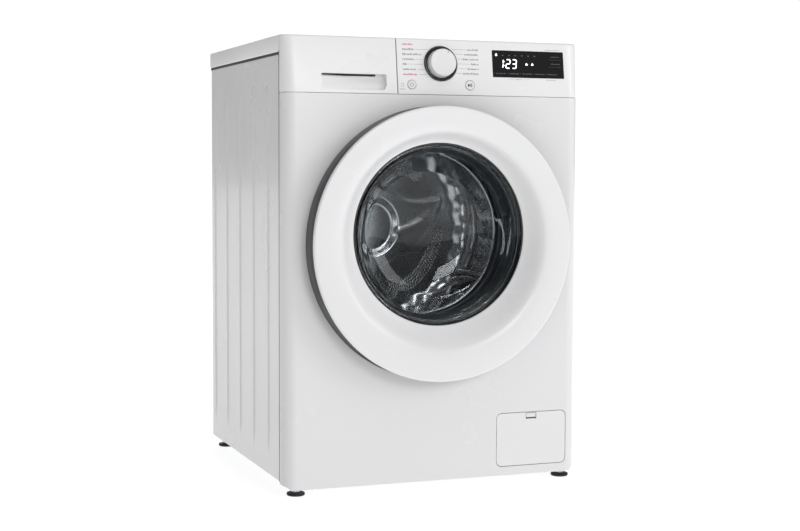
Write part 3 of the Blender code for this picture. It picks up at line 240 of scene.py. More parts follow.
STAINLESS = material("stainless", (0.58, 0.58, 0.585), 0.26, 1.0, shade=0.06, blotch=20, grain=1500,
                     height=0.000012, stretch=(1, 1, 0.08))
BEARING_STEEL = material("bearing_steel", (0.56, 0.56, 0.57), 0.18, 1.0, shade=0.05, grain=2500,
                         height=0.000006, ringed=True)
SPRING_STEEL = material("spring_steel", (0.40, 0.41, 0.42), 0.32, 1.0, shade=0.10, blotch=60, grain=1800,
                        height=0.000020)
ZINC = material("zinc_plate", (0.55, 0.57, 0.60), 0.33, 1.0, shade=0.10, blotch=35, grain=1400,
                height=0.000018)
# Painted shade: the hinge steel is made near black, so the hinge parts in the door's notch read as the shade
# there.
HINGE_SHADE_STEEL = material("hinge_steel_painted_shade", (0.060, 0.062, 0.066), 0.42, 0.9, shade=0.10, blotch=35,
                       grain=1400, height=0.000018)
GALVANISED = material("galvanised", (0.50, 0.515, 0.525), 0.42, 0.9, shade=0.10, cells=70, polish=0.08,
                      grain=600, height=0.000012)
CAST_ALUMINIUM = material("cast_aluminium", (0.42, 0.42, 0.43), 0.55, 1.0, shade=0.12, blotch=40, grain=700,
                          height=0.00015)
CONCRETE = material("cast_concrete", (0.36, 0.35, 0.33), 0.88, shade=0.22, blotch=22, grain=260,
                    height=0.0006)
WINDINGS = material("copper_windings", (0.58, 0.24, 0.11), 0.34, 0.85, shade=0.18, blotch=60, grain=500,
                    height=0.00020, stretch=(0.1, 1, 1))
BOARD = material("circuit_board", (0.025, 0.13, 0.055), 0.42, shade=0.30, cells=260, grain=900,
                 height=0.000060)
TUB = material("filled_polypropylene", (0.42, 0.43, 0.44), 0.50, shade=0.06, grain=800, height=0.00006)
INK_GREY = material("ink_grey", (0.20, 0.20, 0.21), 0.5, shade=0.05, grain=2000, height=0.000002)
INK_DARK = material("ink_dark", (0.045, 0.045, 0.05), 0.5, shade=0.05, grain=2000, height=0.000002)
INK_MAGENTA = material("ink_magenta", (0.62, 0.035, 0.20), 0.5, shade=0.05, grain=2000, height=0.000002)
INK_DIM = material("ink_dim", (0.10, 0.10, 0.105), 0.4, shade=0.10, grain=2000, height=0.000002)
LIT_WHITE = material("lit_white", (0.9, 0.9, 0.9), 0.4, shade=0.01, grain=2000, height=0.000001,
                     Emission_Color=(1, 1, 1, 1), Emission_Strength=1.0)


# ---------------------------------------------------------------- shapes, each made as a bmesh
def block(low, high, rounded=0.0, segments=3, pick=None):
    """A block between two corners. Edges that pick() accepts are rounded, or all of them."""
    shape = bmesh.new()
    bmesh.ops.create_cube(shape, size=1.0)
    bmesh.ops.scale(shape, vec=Vector(high) - Vector(low), verts=shape.verts)
    if rounded:
        edges = [edge for edge in shape.edges if pick is None or pick(edge)]
        bmesh.ops.bevel(shape, geom=edges, offset=rounded, segments=segments, profile=0.5, affect="EDGES")
    bmesh.ops.translate(shape, vec=(Vector(low) + Vector(high)) / 2, verts=shape.verts)
    return shape


def along(axis):
    """Picks a block's edges that run along X (0), Y (1) or Z (2)."""
    return lambda edge: abs((edge.verts[0].co - edge.verts[1].co).normalized()[axis]) > 0.99


def front_uprights(edge):
    """Whether an edge is one of the two upright ones at a block's front."""
    return along(2)(edge) and edge.verts[0].co.y < 0


def skin(rings, closed=True, caps=False):
    """Faces between rings of points. closed joins the last ring to the first, caps fills the two ends."""
    shape = bmesh.new()
    made = [[shape.verts.new(point) for point in ring] for ring in rings]
    pairs = list(zip(made, made[1:]))
    if closed:
        pairs.append((made[-1], made[0]))
    for first, second in pairs:
        count = len(first)
        for i in range(count):
            j = (i + 1) % count
            shape.faces.new((first[i], first[j], second[j], second[i]))
    if caps:
        shape.faces.new(made[0])
        shape.faces.new(made[-1])
    bmesh.ops.remove_doubles(shape, verts=shape.verts, dist=1e-6)
    bmesh.ops.recalc_face_normals(shape, faces=shape.faces)
    return shape


def lathe(profile, placed, steps=96, open_ends=False):
    """A profile of (radius, height) turned round the Z of a matrix. It closes on itself unless its ends lie
    on the axis or open_ends is set."""
    on_axis = profile[0][0] < 1e-6 and profile[-1][0] < 1e-6
    rings = []
    for radius, height in profile:
        ring = []
        for i in range(steps):
            angle = 2 * math.pi * i / steps
            ring.append(placed @ Vector((max(radius, 0) * math.cos(angle), radius * math.sin(angle), height)))
        rings.append(ring)
    return skin(rings, closed=not (on_axis or open_ends))


def round_bar(low, high, radius, steps=48, end_radius=None):
    """A cylinder or cone between two points."""
    span = Vector(high) - Vector(low)
    shape = bmesh.new()
    bmesh.ops.create_cone(
        shape,
        cap_ends=True,
        segments=steps,
        radius1=radius,
        radius2=radius if end_radius is None else end_radius,
        depth=span.length,
    )
    centre = Matrix.Translation((Vector(low) + Vector(high)) / 2)
    turn = centre @ span.to_track_quat("Z", "Y").to_matrix().to_4x4()
    bmesh.ops.transform(shape, matrix=turn, verts=shape.verts)
    return shape


def pipe(path, radius, sides=12, radii=None):
    """A round tube along points, without twist. radii gives each point its own radius."""
    points = [Vector(point) for point in path]
    rings = []
    side = None
    for i, point in enumerate(points):
        heading = (points[min(i + 1, len(points) - 1)] - points[max(i - 1, 0)]).normalized()
        side = heading.orthogonal() if side is None else side - heading * side.dot(heading)
        side.normalize()
        other = heading.cross(side)
        here = radii[i] if radii else radius
        rings.append([
            point + here * (math.cos(a) * side + math.sin(a) * other)
            for a in (2 * math.pi * k / sides for k in range(sides))
        ])
    return skin(rings, closed=False, caps=True)


def prism(outline, low, high, placed):
    """A flat outline of (x, y), thickened from low to high along the Z of a matrix."""
    rings = [[placed @ Vector((x, y, z)) for x, y in outline] for z in (low, high)]
    return skin(rings, closed=False, caps=True)


def rounded_outline(left, bottom, right, top, radius, steps=6):
    """The corners of a rectangle turned into arcs."""
    corners = (
        (right - radius, bottom + radius, 270),
        (right - radius, top - radius, 0),
        (left + radius, top - radius, 90),
        (left + radius, bottom + radius, 180),
    )
    points = []
    for x, y, start in corners:
        for i in range(steps + 1):
            angle = math.radians(start + 90 * i / steps)
            points.append((x + radius * math.cos(angle), y + radius * math.sin(angle)))
    return points


def curve_through(points, count):
    """A Catmull-Rom curve through some points of any size, with count steps between neighbours."""
    held = [Vector(point) for point in points]
    held = [2 * held[0] - held[1], *held, 2 * held[-1] - held[-2]]
    path = []
    for a, b, c, d in zip(held, held[1:], held[2:], held[3:]):
        for i in range(count):
            t = i / count
            path.append(0.5 * (2 * b + (c - a) * t + (2 * a - 5 * b + 4 * c - d) * t**2
                               + (3 * b - a - 3 * c + d) * t**3))
    return [*path, held[-2]]


def loose(shape):
    """A bmesh as a scene object, for a modifier to work on."""
    mesh = bpy.data.meshes.new("loose")
    shape.to_mesh(mesh)
    shape.free()
    made = bpy.data.objects.new("loose", mesh)
    bpy.context.scene.collection.objects.link(made)
    return made


def settled(made):
    """The evaluated mesh of a loose object as a bmesh; the object is removed."""
    bpy.context.view_layer.update()
    shape = bmesh.new()
    shape.from_object(made, bpy.context.evaluated_depsgraph_get())
    bpy.data.objects.remove(made)
    return shape


def combined(shape, others, operation):
    """A bmesh after one boolean step for each of the others."""
    target = loose(shape)
    tools = [loose(other) for other in others]
    for tool in tools:
        step = target.modifiers.new("step", "BOOLEAN")
        step.operation = operation
        step.object = tool
    shape = settled(target)
    for tool in tools:
        bpy.data.objects.remove(tool)
    bmesh.ops.dissolve_limit(shape, angle_limit=0.0005, verts=shape.verts, edges=shape.edges)
    return shape


def carved(shape, *cutters):
    """A shape with the cutters taken out of it."""
    return combined(shape, cutters, "DIFFERENCE")


def united(shape, *others):
    """A shape joined to others that overlap it."""
    return combined(shape, others, "UNION")


def together(*shapes):
    """Several bmeshes in one, as they are."""
    whole = shapes[0]
    for other in shapes[1:]:
        mesh = bpy.data.meshes.new("part")
        other.to_mesh(mesh)
        other.free()
        whole.from_mesh(mesh)
        bpy.data.meshes.remove(mesh)
    return whole


def piece(name, shape, look, body, replaces=(), bevel=0.0, segments=2, smooth_angle=35):
    """An object from a bmesh, riding on a body and standing for CAD nodes."""
    mesh = bpy.data.meshes.new(name)
    shape.to_mesh(mesh)
    shape.free()
    mesh.materials.append(look)
    mesh.shade_smooth()
    mesh.set_sharp_from_angle(angle=math.radians(smooth_angle))
    made = bpy.data.objects.new(name, mesh)
    bpy.context.scene.collection.objects.link(made)
    if bevel:
        edge = made.modifiers.new("edges", "BEVEL")
        edge.width = bevel
        edge.segments = segments
        edge.limit_method = "ANGLE"
        edge.angle_limit = math.radians(smooth_angle)
        edge.harden_normals = True
        edge.use_clamp_overlap = True
    if body:
        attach(made, body)
    if replaces:
        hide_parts(*replaces)
    return made


def keep(node, look, bevel=0.0, segments=2):
    """A CAD node that shows as it is, with a material and rounded edges."""
    made = frame["nodes"][node]
    made.data.materials.clear()
    made.data.materials.append(look)
    if bevel:
        edge = made.modifiers.new("edges", "BEVEL")
        edge.width = bevel
        edge.segments = segments
        edge.limit_method = "ANGLE"
        edge.angle_limit = math.radians(40)
        edge.harden_normals = True
    return made


def screw_head(place, outward, radius=0.0042):
    """A domed cross-recess screw head with its washer rim, standing on a point."""
    placed = Matrix.Translation(place) @ Vector(outward).to_track_quat("Z", "Y").to_matrix().to_4x4()
    profile = [(0, -0.0004), (radius, -0.0004), (radius, 0.0003), (radius * 0.8, 0.0007)]
    profile += [(radius * 0.55, 0.0016), (radius * 0.25, 0.0020), (0, 0.0021)]
    head = lathe(profile, placed, steps=20)
    half, reach = radius * 0.11, radius * 0.5
    for size in ((reach, half), (half, reach)):
        slot = block((-size[0], -size[1], 0.0010), (size[0], size[1], 0.0040))
        bmesh.ops.transform(slot, matrix=placed, verts=slot.verts)
        head = carved(head, slot)
    return head


# ---------------------------------------------------------------- cabinet
def door_panel():
    """The folded front sheet: round front corners, a shallow round recess and its three openings."""
    sheet, recess_radius = 0.002, RING_RADIUS + 0.0002
    low = PANEL_LOW - Vector((0, 0, 0.003))
    high = Vector((PANEL_HIGH.x, SEAM, FASCIA_BOTTOM - 0.0007))
    shell = block(low, high, CORNER_RADIUS - 0.0001, 10, front_uprights)
    hollow = block(
        (low.x + sheet, FRONT + sheet, low.z - 0.02),
        (high.x - sheet, SEAM + 0.02, high.z + 0.02),
        CORNER_RADIUS - sheet,
        10,
        front_uprights,
    )
    dish = round_bar(
        (0, at(0.0007), RING_Z), (0, at(RECESS_DEPTH + sheet), RING_Z), recess_radius + 0.003, 128
    )
    recess = round_bar((0, at(-0.02), RING_Z), (0, at(RECESS_DEPTH), RING_Z), recess_radius, 128)
    opening = round_bar((0, at(-0.02), AXIS_Z), (0, at(0.05), AXIS_Z), 0.178, 128)
    latch = block((HOOK.x - 0.015, at(-0.02), RING_Z - 0.0085), (HOOK.x + 0.0145, SEAM, RING_Z + 0.0085))
    margin = 0.001
    flap = block(
        (FLAP_LOW.x - margin, at(-0.02), FLAP_LOW.z - margin),
        (FLAP_HIGH.x + margin, SEAM, FLAP_HIGH.z + margin),
        0.0115,
        8,
        along(1),
    )
    rise, run = 0.009, SEAM - FRONT - 0.003
    outline = [(SEAM + 0.01, low.z - 0.01), (SEAM + 0.01, low.z + rise)]
    for step in range(9):
        angle = math.radians(90 * step / 8)
        outline.append((SEAM - run * math.sin(angle), low.z + rise * math.cos(angle)))
    outline.append((SEAM - run, low.z - 0.01))
    lower_edge = prism(outline, -1, 1, Matrix(((0, 0, 1, 0), (1, 0, 0, 0), (0, 1, 0, 0), (0, 0, 0, 1))))
    shape = carved(united(carved(shell, hollow), dish), recess, opening, latch, flap, lower_edge)
    piece("door_panel", shape, ENAMEL, "cabinet", ["front_panel"], bevel=0.0008, segments=3)


def recess_shade_ring():
    """A grey ring of painted shade on the floor of the door's recess, a plate of the same painted shade
    behind the hinge and a gap at the hook.
    """
    floor_y = RECESS_DEPTH - 0.0003
    trim = [(0.2430, floor_y), (0.2430, floor_y - 0.0006), (0.2436, floor_y - 0.0010),
            (0.2560, floor_y - 0.0010), (0.2566, floor_y - 0.0006), (0.2566, floor_y)]
    ring = lathe([(r, at(d)) for r, d in trim], axis_y(z=RING_Z), 128)
    gap = block((HOOK.x - 0.016, at(-0.01), RING_Z - 0.0095), (HOOK.x + 0.0155, at(0.01), RING_Z + 0.0095))
    plate = block((-0.2475, at(floor_y - 0.0010), RING_Z - 0.054), (-0.2226, at(floor_y), RING_Z + 0.054))
    shape = carved(united(ring, plate), gap)
    piece("recess_shade_ring", shape, SHADOW_GREY, "cabinet", bevel=0.0002)


def seam_strip():
    """Black strips of painted shade: behind the seam between the front and the two sides and the top, and
    under the slab's side edges.
    """
    low_y, high_y, inset, thick = SEAM + 0.0002, SEAM + SEAM_GAP, 0.0016, 0.0030
    side_bottom, lid_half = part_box("side_panel_left")[0].z + 0.001, TOP_HIGH.x - 0.0022
    sides = [
        block((side * (HALF_WIDTH - inset) - thick / 2, low_y, side_bottom),
              (side * (HALF_WIDTH - inset) + thick / 2, high_y, TOP_LOW.z + 0.002))
        for side in (-1, 1)
    ]
    top = block((-lid_half, low_y, TOP_LOW.z), (lid_half, high_y, HEIGHT - 0.0022))
    under = [
        block((side * (HALF_WIDTH - 0.0022) - 0.0014, high_y, TOP_LOW.z - 0.0050),
              (side * (HALF_WIDTH - 0.0022) + 0.0014, BACK - 0.004, TOP_LOW.z - 0.0002))
        for side in (-1, 1)
    ]
    piece("seam_strip", together(top, *sides, *under), BLACK_ABS_AND_SHADE, "cabinet", bevel=0.0002)


def side_wall(name, node, side):
    """A side sheet with five ribs pressed outward, each with pointed ends."""
    low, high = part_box(node)
    outer = high.x if side > 0 else low.x
    low_y, high_y, low_z, high_z = SEAM + SEAM_GAP, high.y, low.z, high.z - 0.0006
    first, pitch, half, height = 0.118, 0.105, 0.0125, 0.0023
    ends = (0.058 + half, 0.768 - half)
    crests = [at(first + pitch * i) for i in range(5)]
    ys = {low_y, high_y, low_y + 0.010, high_y - 0.010}
    for y in crests:
        ys |= {y + half * k / 6 for k in range(-8, 9)}
    zs = {low_z, low_z + 0.010, high_z - 0.010, high_z}
    zs |= {ends[0] + (ends[1] - ends[0]) * k / 8 for k in range(9)}
    taper = 0.045
    for end, way in ((ends[0] + taper - half, -1), (ends[1] - taper + half, 1)):
        zs |= {end + way * taper * k / 14 for k in range(16)}
    ys, zs = sorted(ys), sorted(zs)

    def raised(y, z):
        across = min(abs(y - crest) for crest in crests)
        beyond = max(ends[0] + taper - half - z, z - ends[1] + taper - half, 0.0) * half / taper
        return height * smooth((half - math.hypot(across, beyond)) / (half * 0.45))

    shape = bmesh.new()
    grid = [[shape.verts.new((outer + side * raised(y, z), y, z)) for z in zs] for y in ys]
    for first_row, second_row in zip(grid, grid[1:]):
        for i in range(len(zs) - 1):
            shape.faces.new((first_row[i], first_row[i + 1], second_row[i + 1], second_row[i]))
    thickness = 0.0010
    backs = [[shape.verts.new(vert.co - Vector((side * thickness, 0, 0))) for vert in row] for row in grid]
    for first_row, second_row in zip(backs, backs[1:]):
        for i in range(len(zs) - 1):
            shape.faces.new((first_row[i], second_row[i], second_row[i + 1], first_row[i + 1]))

    def rim_of(rows):
        return [row[0] for row in rows] + rows[-1][1:] + [row[-1] for row in rows[-2::-1]] + rows[0][-2:0:-1]

    rim, rim_back = rim_of(grid), rim_of(backs)
    for i in range(len(rim)):
        j = (i + 1) % len(rim)
        shape.faces.new((rim[i], rim[j], rim_back[j], rim_back[i]))
    bmesh.ops.recalc_face_normals(shape, faces=shape.faces)
    piece(name, shape, ENAMEL, "cabinet", [node], smooth_angle=50)


def top_slab():
    """The laminated slab between its rounded edges."""
    shape = block((TOP_LOW.x, SEAM + SEAM_GAP, TOP_LOW.z), TOP_HIGH, 0.0020, 3)
    piece("top_slab", shape, LAMINATE, "cabinet", ["worktop"])


def back_wall():
    """The galvanised back sheet with its service, valve, hose and mains openings and two vents."""
    low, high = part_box("rear_panel")
    sheet = block(low, high)
    cutters = [block((-0.19, BACK - 0.01, 0.24), (0.19, BACK + 0.01, 0.70), 0.03, 8, along(1))]
    cutters.append(block((0.180, BACK - 0.01, 0.755), (0.230, BACK + 0.01, 0.805), 0.004, 6, along(1)))
    for z, radius in ((0.740, 0.0135), (0.640, 0.0125)):
        cutters.append(round_bar((-0.235, BACK - 0.01, z), (-0.235, BACK + 0.01, z), radius, 40))
    for side in (-1, 1):
        for i in range(8):
            z = 0.075 + 0.012 * i
            x = side * 0.20
            cutters.append(block((x - 0.045, BACK - 0.01, z), (x + 0.045, BACK + 0.01, z + 0.005), 0.0024, 3,
                                 along(1)))
    piece("back_sheet", carved(sheet, *cutters), GALVANISED, "cabinet", ["rear_panel"],
          bevel=0.0004)


def back_cover():
    """The service cover: a plate with a pressed boss and four ribs."""
    cover_low, cover_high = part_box("rear_cover")
    plate_low = (cover_low.x, BACK - 0.0048, cover_low.z)
    plate_high = (cover_high.x, BACK - 0.0028, cover_high.z)
    plate = block(plate_low, plate_high, 0.03, 8, along(1))
    boss = lathe([(0, BACK - 0.0050), (0.136, BACK - 0.0050), (0.136, BACK - 0.0030), (0.131, BACK - 0.0016),
                  (0.124, BACK - 0.0004), (0.060, BACK - 0.0004), (0.052, BACK - 0.0020), (0, BACK - 0.0020)],
                 axis_y(), 96)
    ribs = []
    for way in (-1, 1):
        for offset in (0.165, 0.195):
            z = AXIS_Z + way * offset
            rib_low, rib_high = (-0.150, BACK - 0.0045, z - 0.006), (0.150, BACK - 0.0010, z + 0.006)
            ribs.append(block(rib_low, rib_high, 0.0017, 3))
    piece("back_cover", united(plate, boss, *ribs), GALVANISED, "cabinet", ["rear_cover"],
          bevel=0.0005)


def back_fixings():
    """The back's screws, and the plugs in the holes of the transport bolts."""
    heads = []
    for x in (-0.283, 0.283):
        for z in (0.045, 0.30, 0.55, 0.795):
            heads.append(screw_head((x, BACK, z), (0, 1, 0)))
    for x in (-0.10, 0.10):
        heads.append(screw_head((x, BACK, 0.795), (0, 1, 0)))
        heads.append(screw_head((x, BACK, 0.030), (0, 1, 0)))
    screws = together(*heads)
    bmesh.ops.translate(screws, vec=(0, -0.0021, 0), verts=screws.verts)
    piece("back_screws", screws, ZINC, "cabinet")

    cap = [(0, BACK - 0.003), (0.0135, BACK - 0.003), (0.0135, BACK - 0.0003), (0.0120, BACK - 0.0001),
           (0.0100, BACK - 0.0006), (0, BACK - 0.0006)]
    plugs = [lathe(cap, axis_y(x, z), 32) for x, z in ((-0.215, 0.205), (0.215, 0.205), (0.215, 0.735))]
    piece("transport_plugs", together(*plugs), POLYPROPYLENE, "cabinet")


# ---------------------------------------------------------------- fascia, drawer and controls
def fascia_shape(x_low, x_high):
    """The leaning shell between two ends. An end that reaches the side is rounded in plan."""
    top_radius, bottom_radius, near_side = 0.004, 0.0012, 0.27
    rows = []
    for step in range(5):
        angle = math.radians(90 - 90 * step / 4)
        rows.append((FASCIA_BOTTOM + bottom_radius * (1 - math.cos(math.pi / 2 - angle)),
                     bottom_radius * (1 - math.sin(math.pi / 2 - angle))))
    rows.append((HEIGHT - top_radius, 0.0))
    for step in range(1, 7):
        angle = math.radians(90 * step / 6)
        rows.append((HEIGHT - top_radius + top_radius * math.sin(angle), top_radius * (1 - math.cos(angle))))
    plan = []
    for x, side in ((x_low, -1), (x_high, 1)):
        turn = []
        if abs(x) < HALF_WIDTH - CORNER_RADIUS:
            turn.append((x, 1.0))
        else:
            for step in range(19):
                angle = math.radians(90 - 5 * step)
                turn.append((side * (HALF_WIDTH - CORNER_RADIUS + CORNER_RADIUS * math.sin(angle)),
                             math.cos(angle)))
        plan += turn if side < 0 else turn[::-1]
    rings = []
    for z, tuck in rows:
        lean = (z - FASCIA_BOTTOM) * math.tan(LEAN)
        room = SEAM - (FRONT + lean + tuck)
        inset = tuck * 0.6

        def drawn_in(x, share):
            if share >= 0.99:
                return x
            return x + inset if x < 0 else x - inset

        left = x_low if abs(x_low) < near_side else -HALF_WIDTH + inset
        right = x_high if abs(x_high) < near_side else HALF_WIDTH - inset
        rings.append([(left, SEAM, z)]
                     + [(drawn_in(x, share), SEAM - share * room, z) for x, share in plan]
                     + [(right, SEAM, z)])
    return skin(rings, closed=False, caps=True)


def fascia_hollow(x_low, x_high):
    """The space behind the leaning front, between two ends."""
    wall = 0.003
    return block(
        (max(x_low + wall, -HALF_WIDTH + 0.008), at(0.0190), FASCIA_BOTTOM + wall),
        (min(x_high - wall, HALF_WIDTH - 0.008), SEAM + 0.02, HEIGHT - wall - 0.003),
    )


def control_fascia():
    """The control panel with its round holes and the window for the display."""
    cutters = [fascia_hollow(PANEL_EDGE, HALF_WIDTH)]
    holes = [(KNOB, 0.0318, 96), (middle("power_button"), 0.0092, 64), (middle("start_button"), 0.0102, 64)]
    for place, radius, steps in holes:
        outer = on_panel(place.x, place.z, -0.04).translation
        inner = on_panel(place.x, place.z, 0.02).translation
        cutters.append(round_bar(outer, inner, radius, steps))
    size_x, size_y = SCREEN_HALF.x + 0.0003, SCREEN_HALF.y + 0.0003
    centre = on_panel(SCREEN_MIDDLE.x, SCREEN_MIDDLE.z)
    cutters.append(prism(rounded_outline(-size_x, -size_y, size_x, size_y, 0.0012, 3), -0.04, 0.02, centre))
    shape = carved(fascia_shape(PANEL_EDGE, HALF_WIDTH), *cutters)
    piece("control_fascia", shape, FASCIA_ABS_LIT, "cabinet", ["control_panel"], bevel=0.0005,
          segments=3)


GRIP_X = (-0.226, -0.0997)
GRIP_Z = (0.7515, 0.7810)
SLOT_END = -0.1200


def grip_depth(x):
    """How deep the scoop is at its top edge: shallow at its left end and deep at its right."""
    share = (x - GRIP_X[0]) / (GRIP_X[1] - GRIP_X[0])
    return 0.0030 + 0.0135 * smooth(share * 1.1)


def drawer_face():
    """The drawer's face: the scoop deepens to the right under a slot that the fingers hook behind."""
    shape = fascia_shape(-HALF_WIDTH, DRAWER_EDGE)
    backing = block((-0.236, at(0.0100), 0.7475), (-0.092, SEAM + 0.0015, 0.7930))
    hollow = fascia_hollow(-HALF_WIDTH, DRAWER_EDGE)
    corner = 0.009
    count = 28
    rings = []
    for i in range(count + 1):
        x = GRIP_X[0] + (GRIP_X[1] - GRIP_X[0]) * i / count
        from_end = max(corner - (GRIP_X[1] - x), 0.0)
        bottom = GRIP_Z[0] + corner - math.sqrt(max(corner**2 - from_end**2, 0.0))
        depth = grip_depth(x)
        lean = (GRIP_Z[1] - FASCIA_BOTTOM) * math.tan(LEAN)
        ring = [(x, at(-0.02), bottom), (x, at(-0.02), GRIP_Z[1]), (x, at(depth + lean), GRIP_Z[1])]
        for step in range(1, 9):
            share = step / 8
            z = GRIP_Z[1] + (bottom - GRIP_Z[1]) * share
            floor = (z - FASCIA_BOTTOM) * math.tan(LEAN)
            ring.append((x, at(floor + depth * (1 - (1 - 0.45 * i / count) * smooth(share))), z))
        rings.append(ring)
    scoop = skin(rings, closed=False, caps=True)
    rings = []
    for i in range(13):
        share = i / 12
        x = GRIP_X[0] + 0.001 + (SLOT_END - GRIP_X[0] - 0.001) * share
        high = 0.0022 + 0.0018 * smooth(share * 2)
        rings.append([
            (x, at(-0.01), GRIP_Z[1] - high),
            (x, at(-0.01), GRIP_Z[1]),
            (x, SEAM + 0.004, GRIP_Z[1]),
            (x, SEAM + 0.004, GRIP_Z[1] - high),
        ])
    slot = skin(rings, closed=False, caps=True)
    reach = (SLOT_END - GRIP_X[0]) / 2
    undercut = prism(rounded_outline(-reach, -0.0050, reach, 0.0105, 0.0010, 2), -0.0125, -0.0018,
                     on_panel(GRIP_X[0] + reach, GRIP_Z[1]))
    shape = carved(united(carved(shape, hollow), backing), scoop, slot, undercut)
    piece("drawer_face", shape, FASCIA_ABS_LIT, "drawer", ["drawer_front"], bevel=0.0005,
          segments=3)
    # Painted shade: a black block behind the grip's slot, so the slot reads as a dark gap.
    slot_shade = block((GRIP_X[0] - 0.004, at(0.0205), 0.7700), (SLOT_END + 0.004, at(0.0238), 0.7905))
    piece("grip_slot_shade", slot_shade, BLACK_ABS_AND_SHADE, "drawer", bevel=0.0004)


def detergent_tray():
    """The tray: three round-cornered compartments, a siphon cap and a pull tab on the softener's side."""
    wall = 0.0018
    shape = block(TRAY_LOW, TRAY_HIGH, 0.0030, 4, along(2))
    walls_x = [TRAY_LOW.x + wall, -0.208, -0.150, TRAY_HIGH.x]
    for left, right in zip(walls_x, walls_x[1:]):
        shape = carved(shape, block(
            (left, TRAY_LOW.y + wall, TRAY_LOW.z + wall),
            (right - wall, TRAY_HIGH.y - wall, TRAY_HIGH.z + 0.03),
            0.0058, 5, lambda edge: along(2)(edge) or edge.verts[0].co.z + edge.verts[1].co.z < -0.001,
        ))
    piece("tray", shape, POLYPROPYLENE, "drawer", ["drawer_tray"], bevel=0.0006)
    centre_x, centre_y = -0.124, at(0.190)
    rim_z = TRAY_HIGH.z
    cap = united(
        block((-0.1475, centre_y - 0.034, rim_z - 0.0085), (-0.1005, centre_y + 0.038, rim_z - 0.0065),
              0.004, 4, along(2)),
        round_bar((centre_x, centre_y, TRAY_LOW.z + 0.004), (centre_x, centre_y, rim_z - 0.0070), 0.0075, 32),
        block((centre_x - 0.012, centre_y - 0.022, rim_z - 0.0070),
              (centre_x + 0.012, centre_y - 0.018, rim_z - 0.0015), 0.001, 2),
    )
    piece("siphon_cap", cap, BLUE_CAP, "drawer", bevel=0.0005)
    marks = []
    for left, right in zip(walls_x[:2], walls_x[1:3]):
        marks.append(block((left + 0.002, TRAY_HIGH.y - wall - 0.0006, TRAY_HIGH.z - 0.014),
                           (right - wall - 0.002, TRAY_HIGH.y - wall + 0.0004, TRAY_HIGH.z - 0.0132)))
    piece("fill_lines", together(*marks), POLYPROPYLENE, "drawer")


def knob():
    """The programme knob with a dished rim and a pointer, in its glossy ring."""
    placed = on_panel(KNOB.x, KNOB.z)
    radius = 0.0272
    profile = [(0, 0.0150), (0.0195, 0.0152), (0.0232, 0.0158), (0.0242, 0.0158)]
    profile += [(0.0242 + 0.0016 * math.sin(a), 0.0142 + 0.0016 * math.cos(a))
                for a in (math.radians(15 * k) for k in range(1, 7))]
    profile += [(0.0262, 0.0100), (radius, 0.0030), (radius, -0.0020), (0.0040, -0.0020), (0.0040, -0.0110),
                (0, -0.0110)]
    piece("knob_cap", lathe(profile, placed, 128), KNOB_ABS, "knob", ["program_knob"])
    turn = placed @ Matrix.Rotation(math.radians(62), 4, "Z")
    pointer = prism(rounded_outline(0.0196, -0.0005, 0.0238, 0.0005, 0.00045, 3), 0.0150, 0.01590, turn)
    piece("knob_pointer", pointer, INK_GREY, "knob")
    ring = [(0.0282, -0.0050), (0.0282, 0.0014), (0.0287, 0.0024), (0.0298, 0.0032), (0.0316, 0.0035)]
    ring += [(0.0330, 0.0029), (0.0336, 0.0020), (0.0337, 0.0005), (0.0315, 0.0004), (0.0315, -0.0050)]
    piece("knob_ring", lathe(ring, placed, 128), BLACK_GLOSS, "cabinet", ["knob_bezel"])


def button(name, node, body, radius):
    """A round push button with a slightly dished face."""
    place = middle(node)
    profile = [(0, 0.0005), (radius * 0.7, 0.0006), (radius - 0.0008, 0.0009), (radius - 0.0002, 0.0006),
               (radius, 0.0000), (radius, -0.0052), (radius + 0.0018, -0.0052), (radius + 0.0018, -0.0068),
               (0, -0.0068)]
    piece(name, lathe(profile, on_panel(place.x, place.z), 64), ABS, body, [node])
    return place


def ring_mark(radius, width, start=0, sweep=360, steps=48):
    """The outline of a ring or of a part of one, as quads of points."""
    strips = []
    for i in range(steps):
        a, b = (math.radians(start + sweep * k / steps) for k in (i, i + 1))
        strips.append([(r * math.cos(t), r * math.sin(t)) for r, t in (
            (radius, a), (radius, b), (radius + width, b), (radius + width, a))])
    return strips


def bar_mark(x, y, width, height):
    """A rectangle's outline from its lower left corner."""
    return [(x, y), (x + width, y), (x + width, y + height), (x, y + height)]


def marks(name, outlines, placed, look, body, slot, out=0.00006, thick=0.00010):
    """Thin printed shapes on a face, all in one piece."""
    shape = bmesh.new()
    for outline in outlines:
        rings = []
        for z in (out - thick, out):
            rings.append([shape.verts.new(placed @ Vector((x, y, z))) for x, y in outline])
        shape.faces.new(rings[1])
        shape.faces.new(rings[0][::-1])
        for i in range(len(outline)):
            j = (i + 1) % len(outline)
            shape.faces.new((rings[0][i], rings[0][j], rings[1][j], rings[1][i]))
    bmesh.ops.recalc_face_normals(shape, faces=shape.faces)
    return piece(name, shape, look, body)


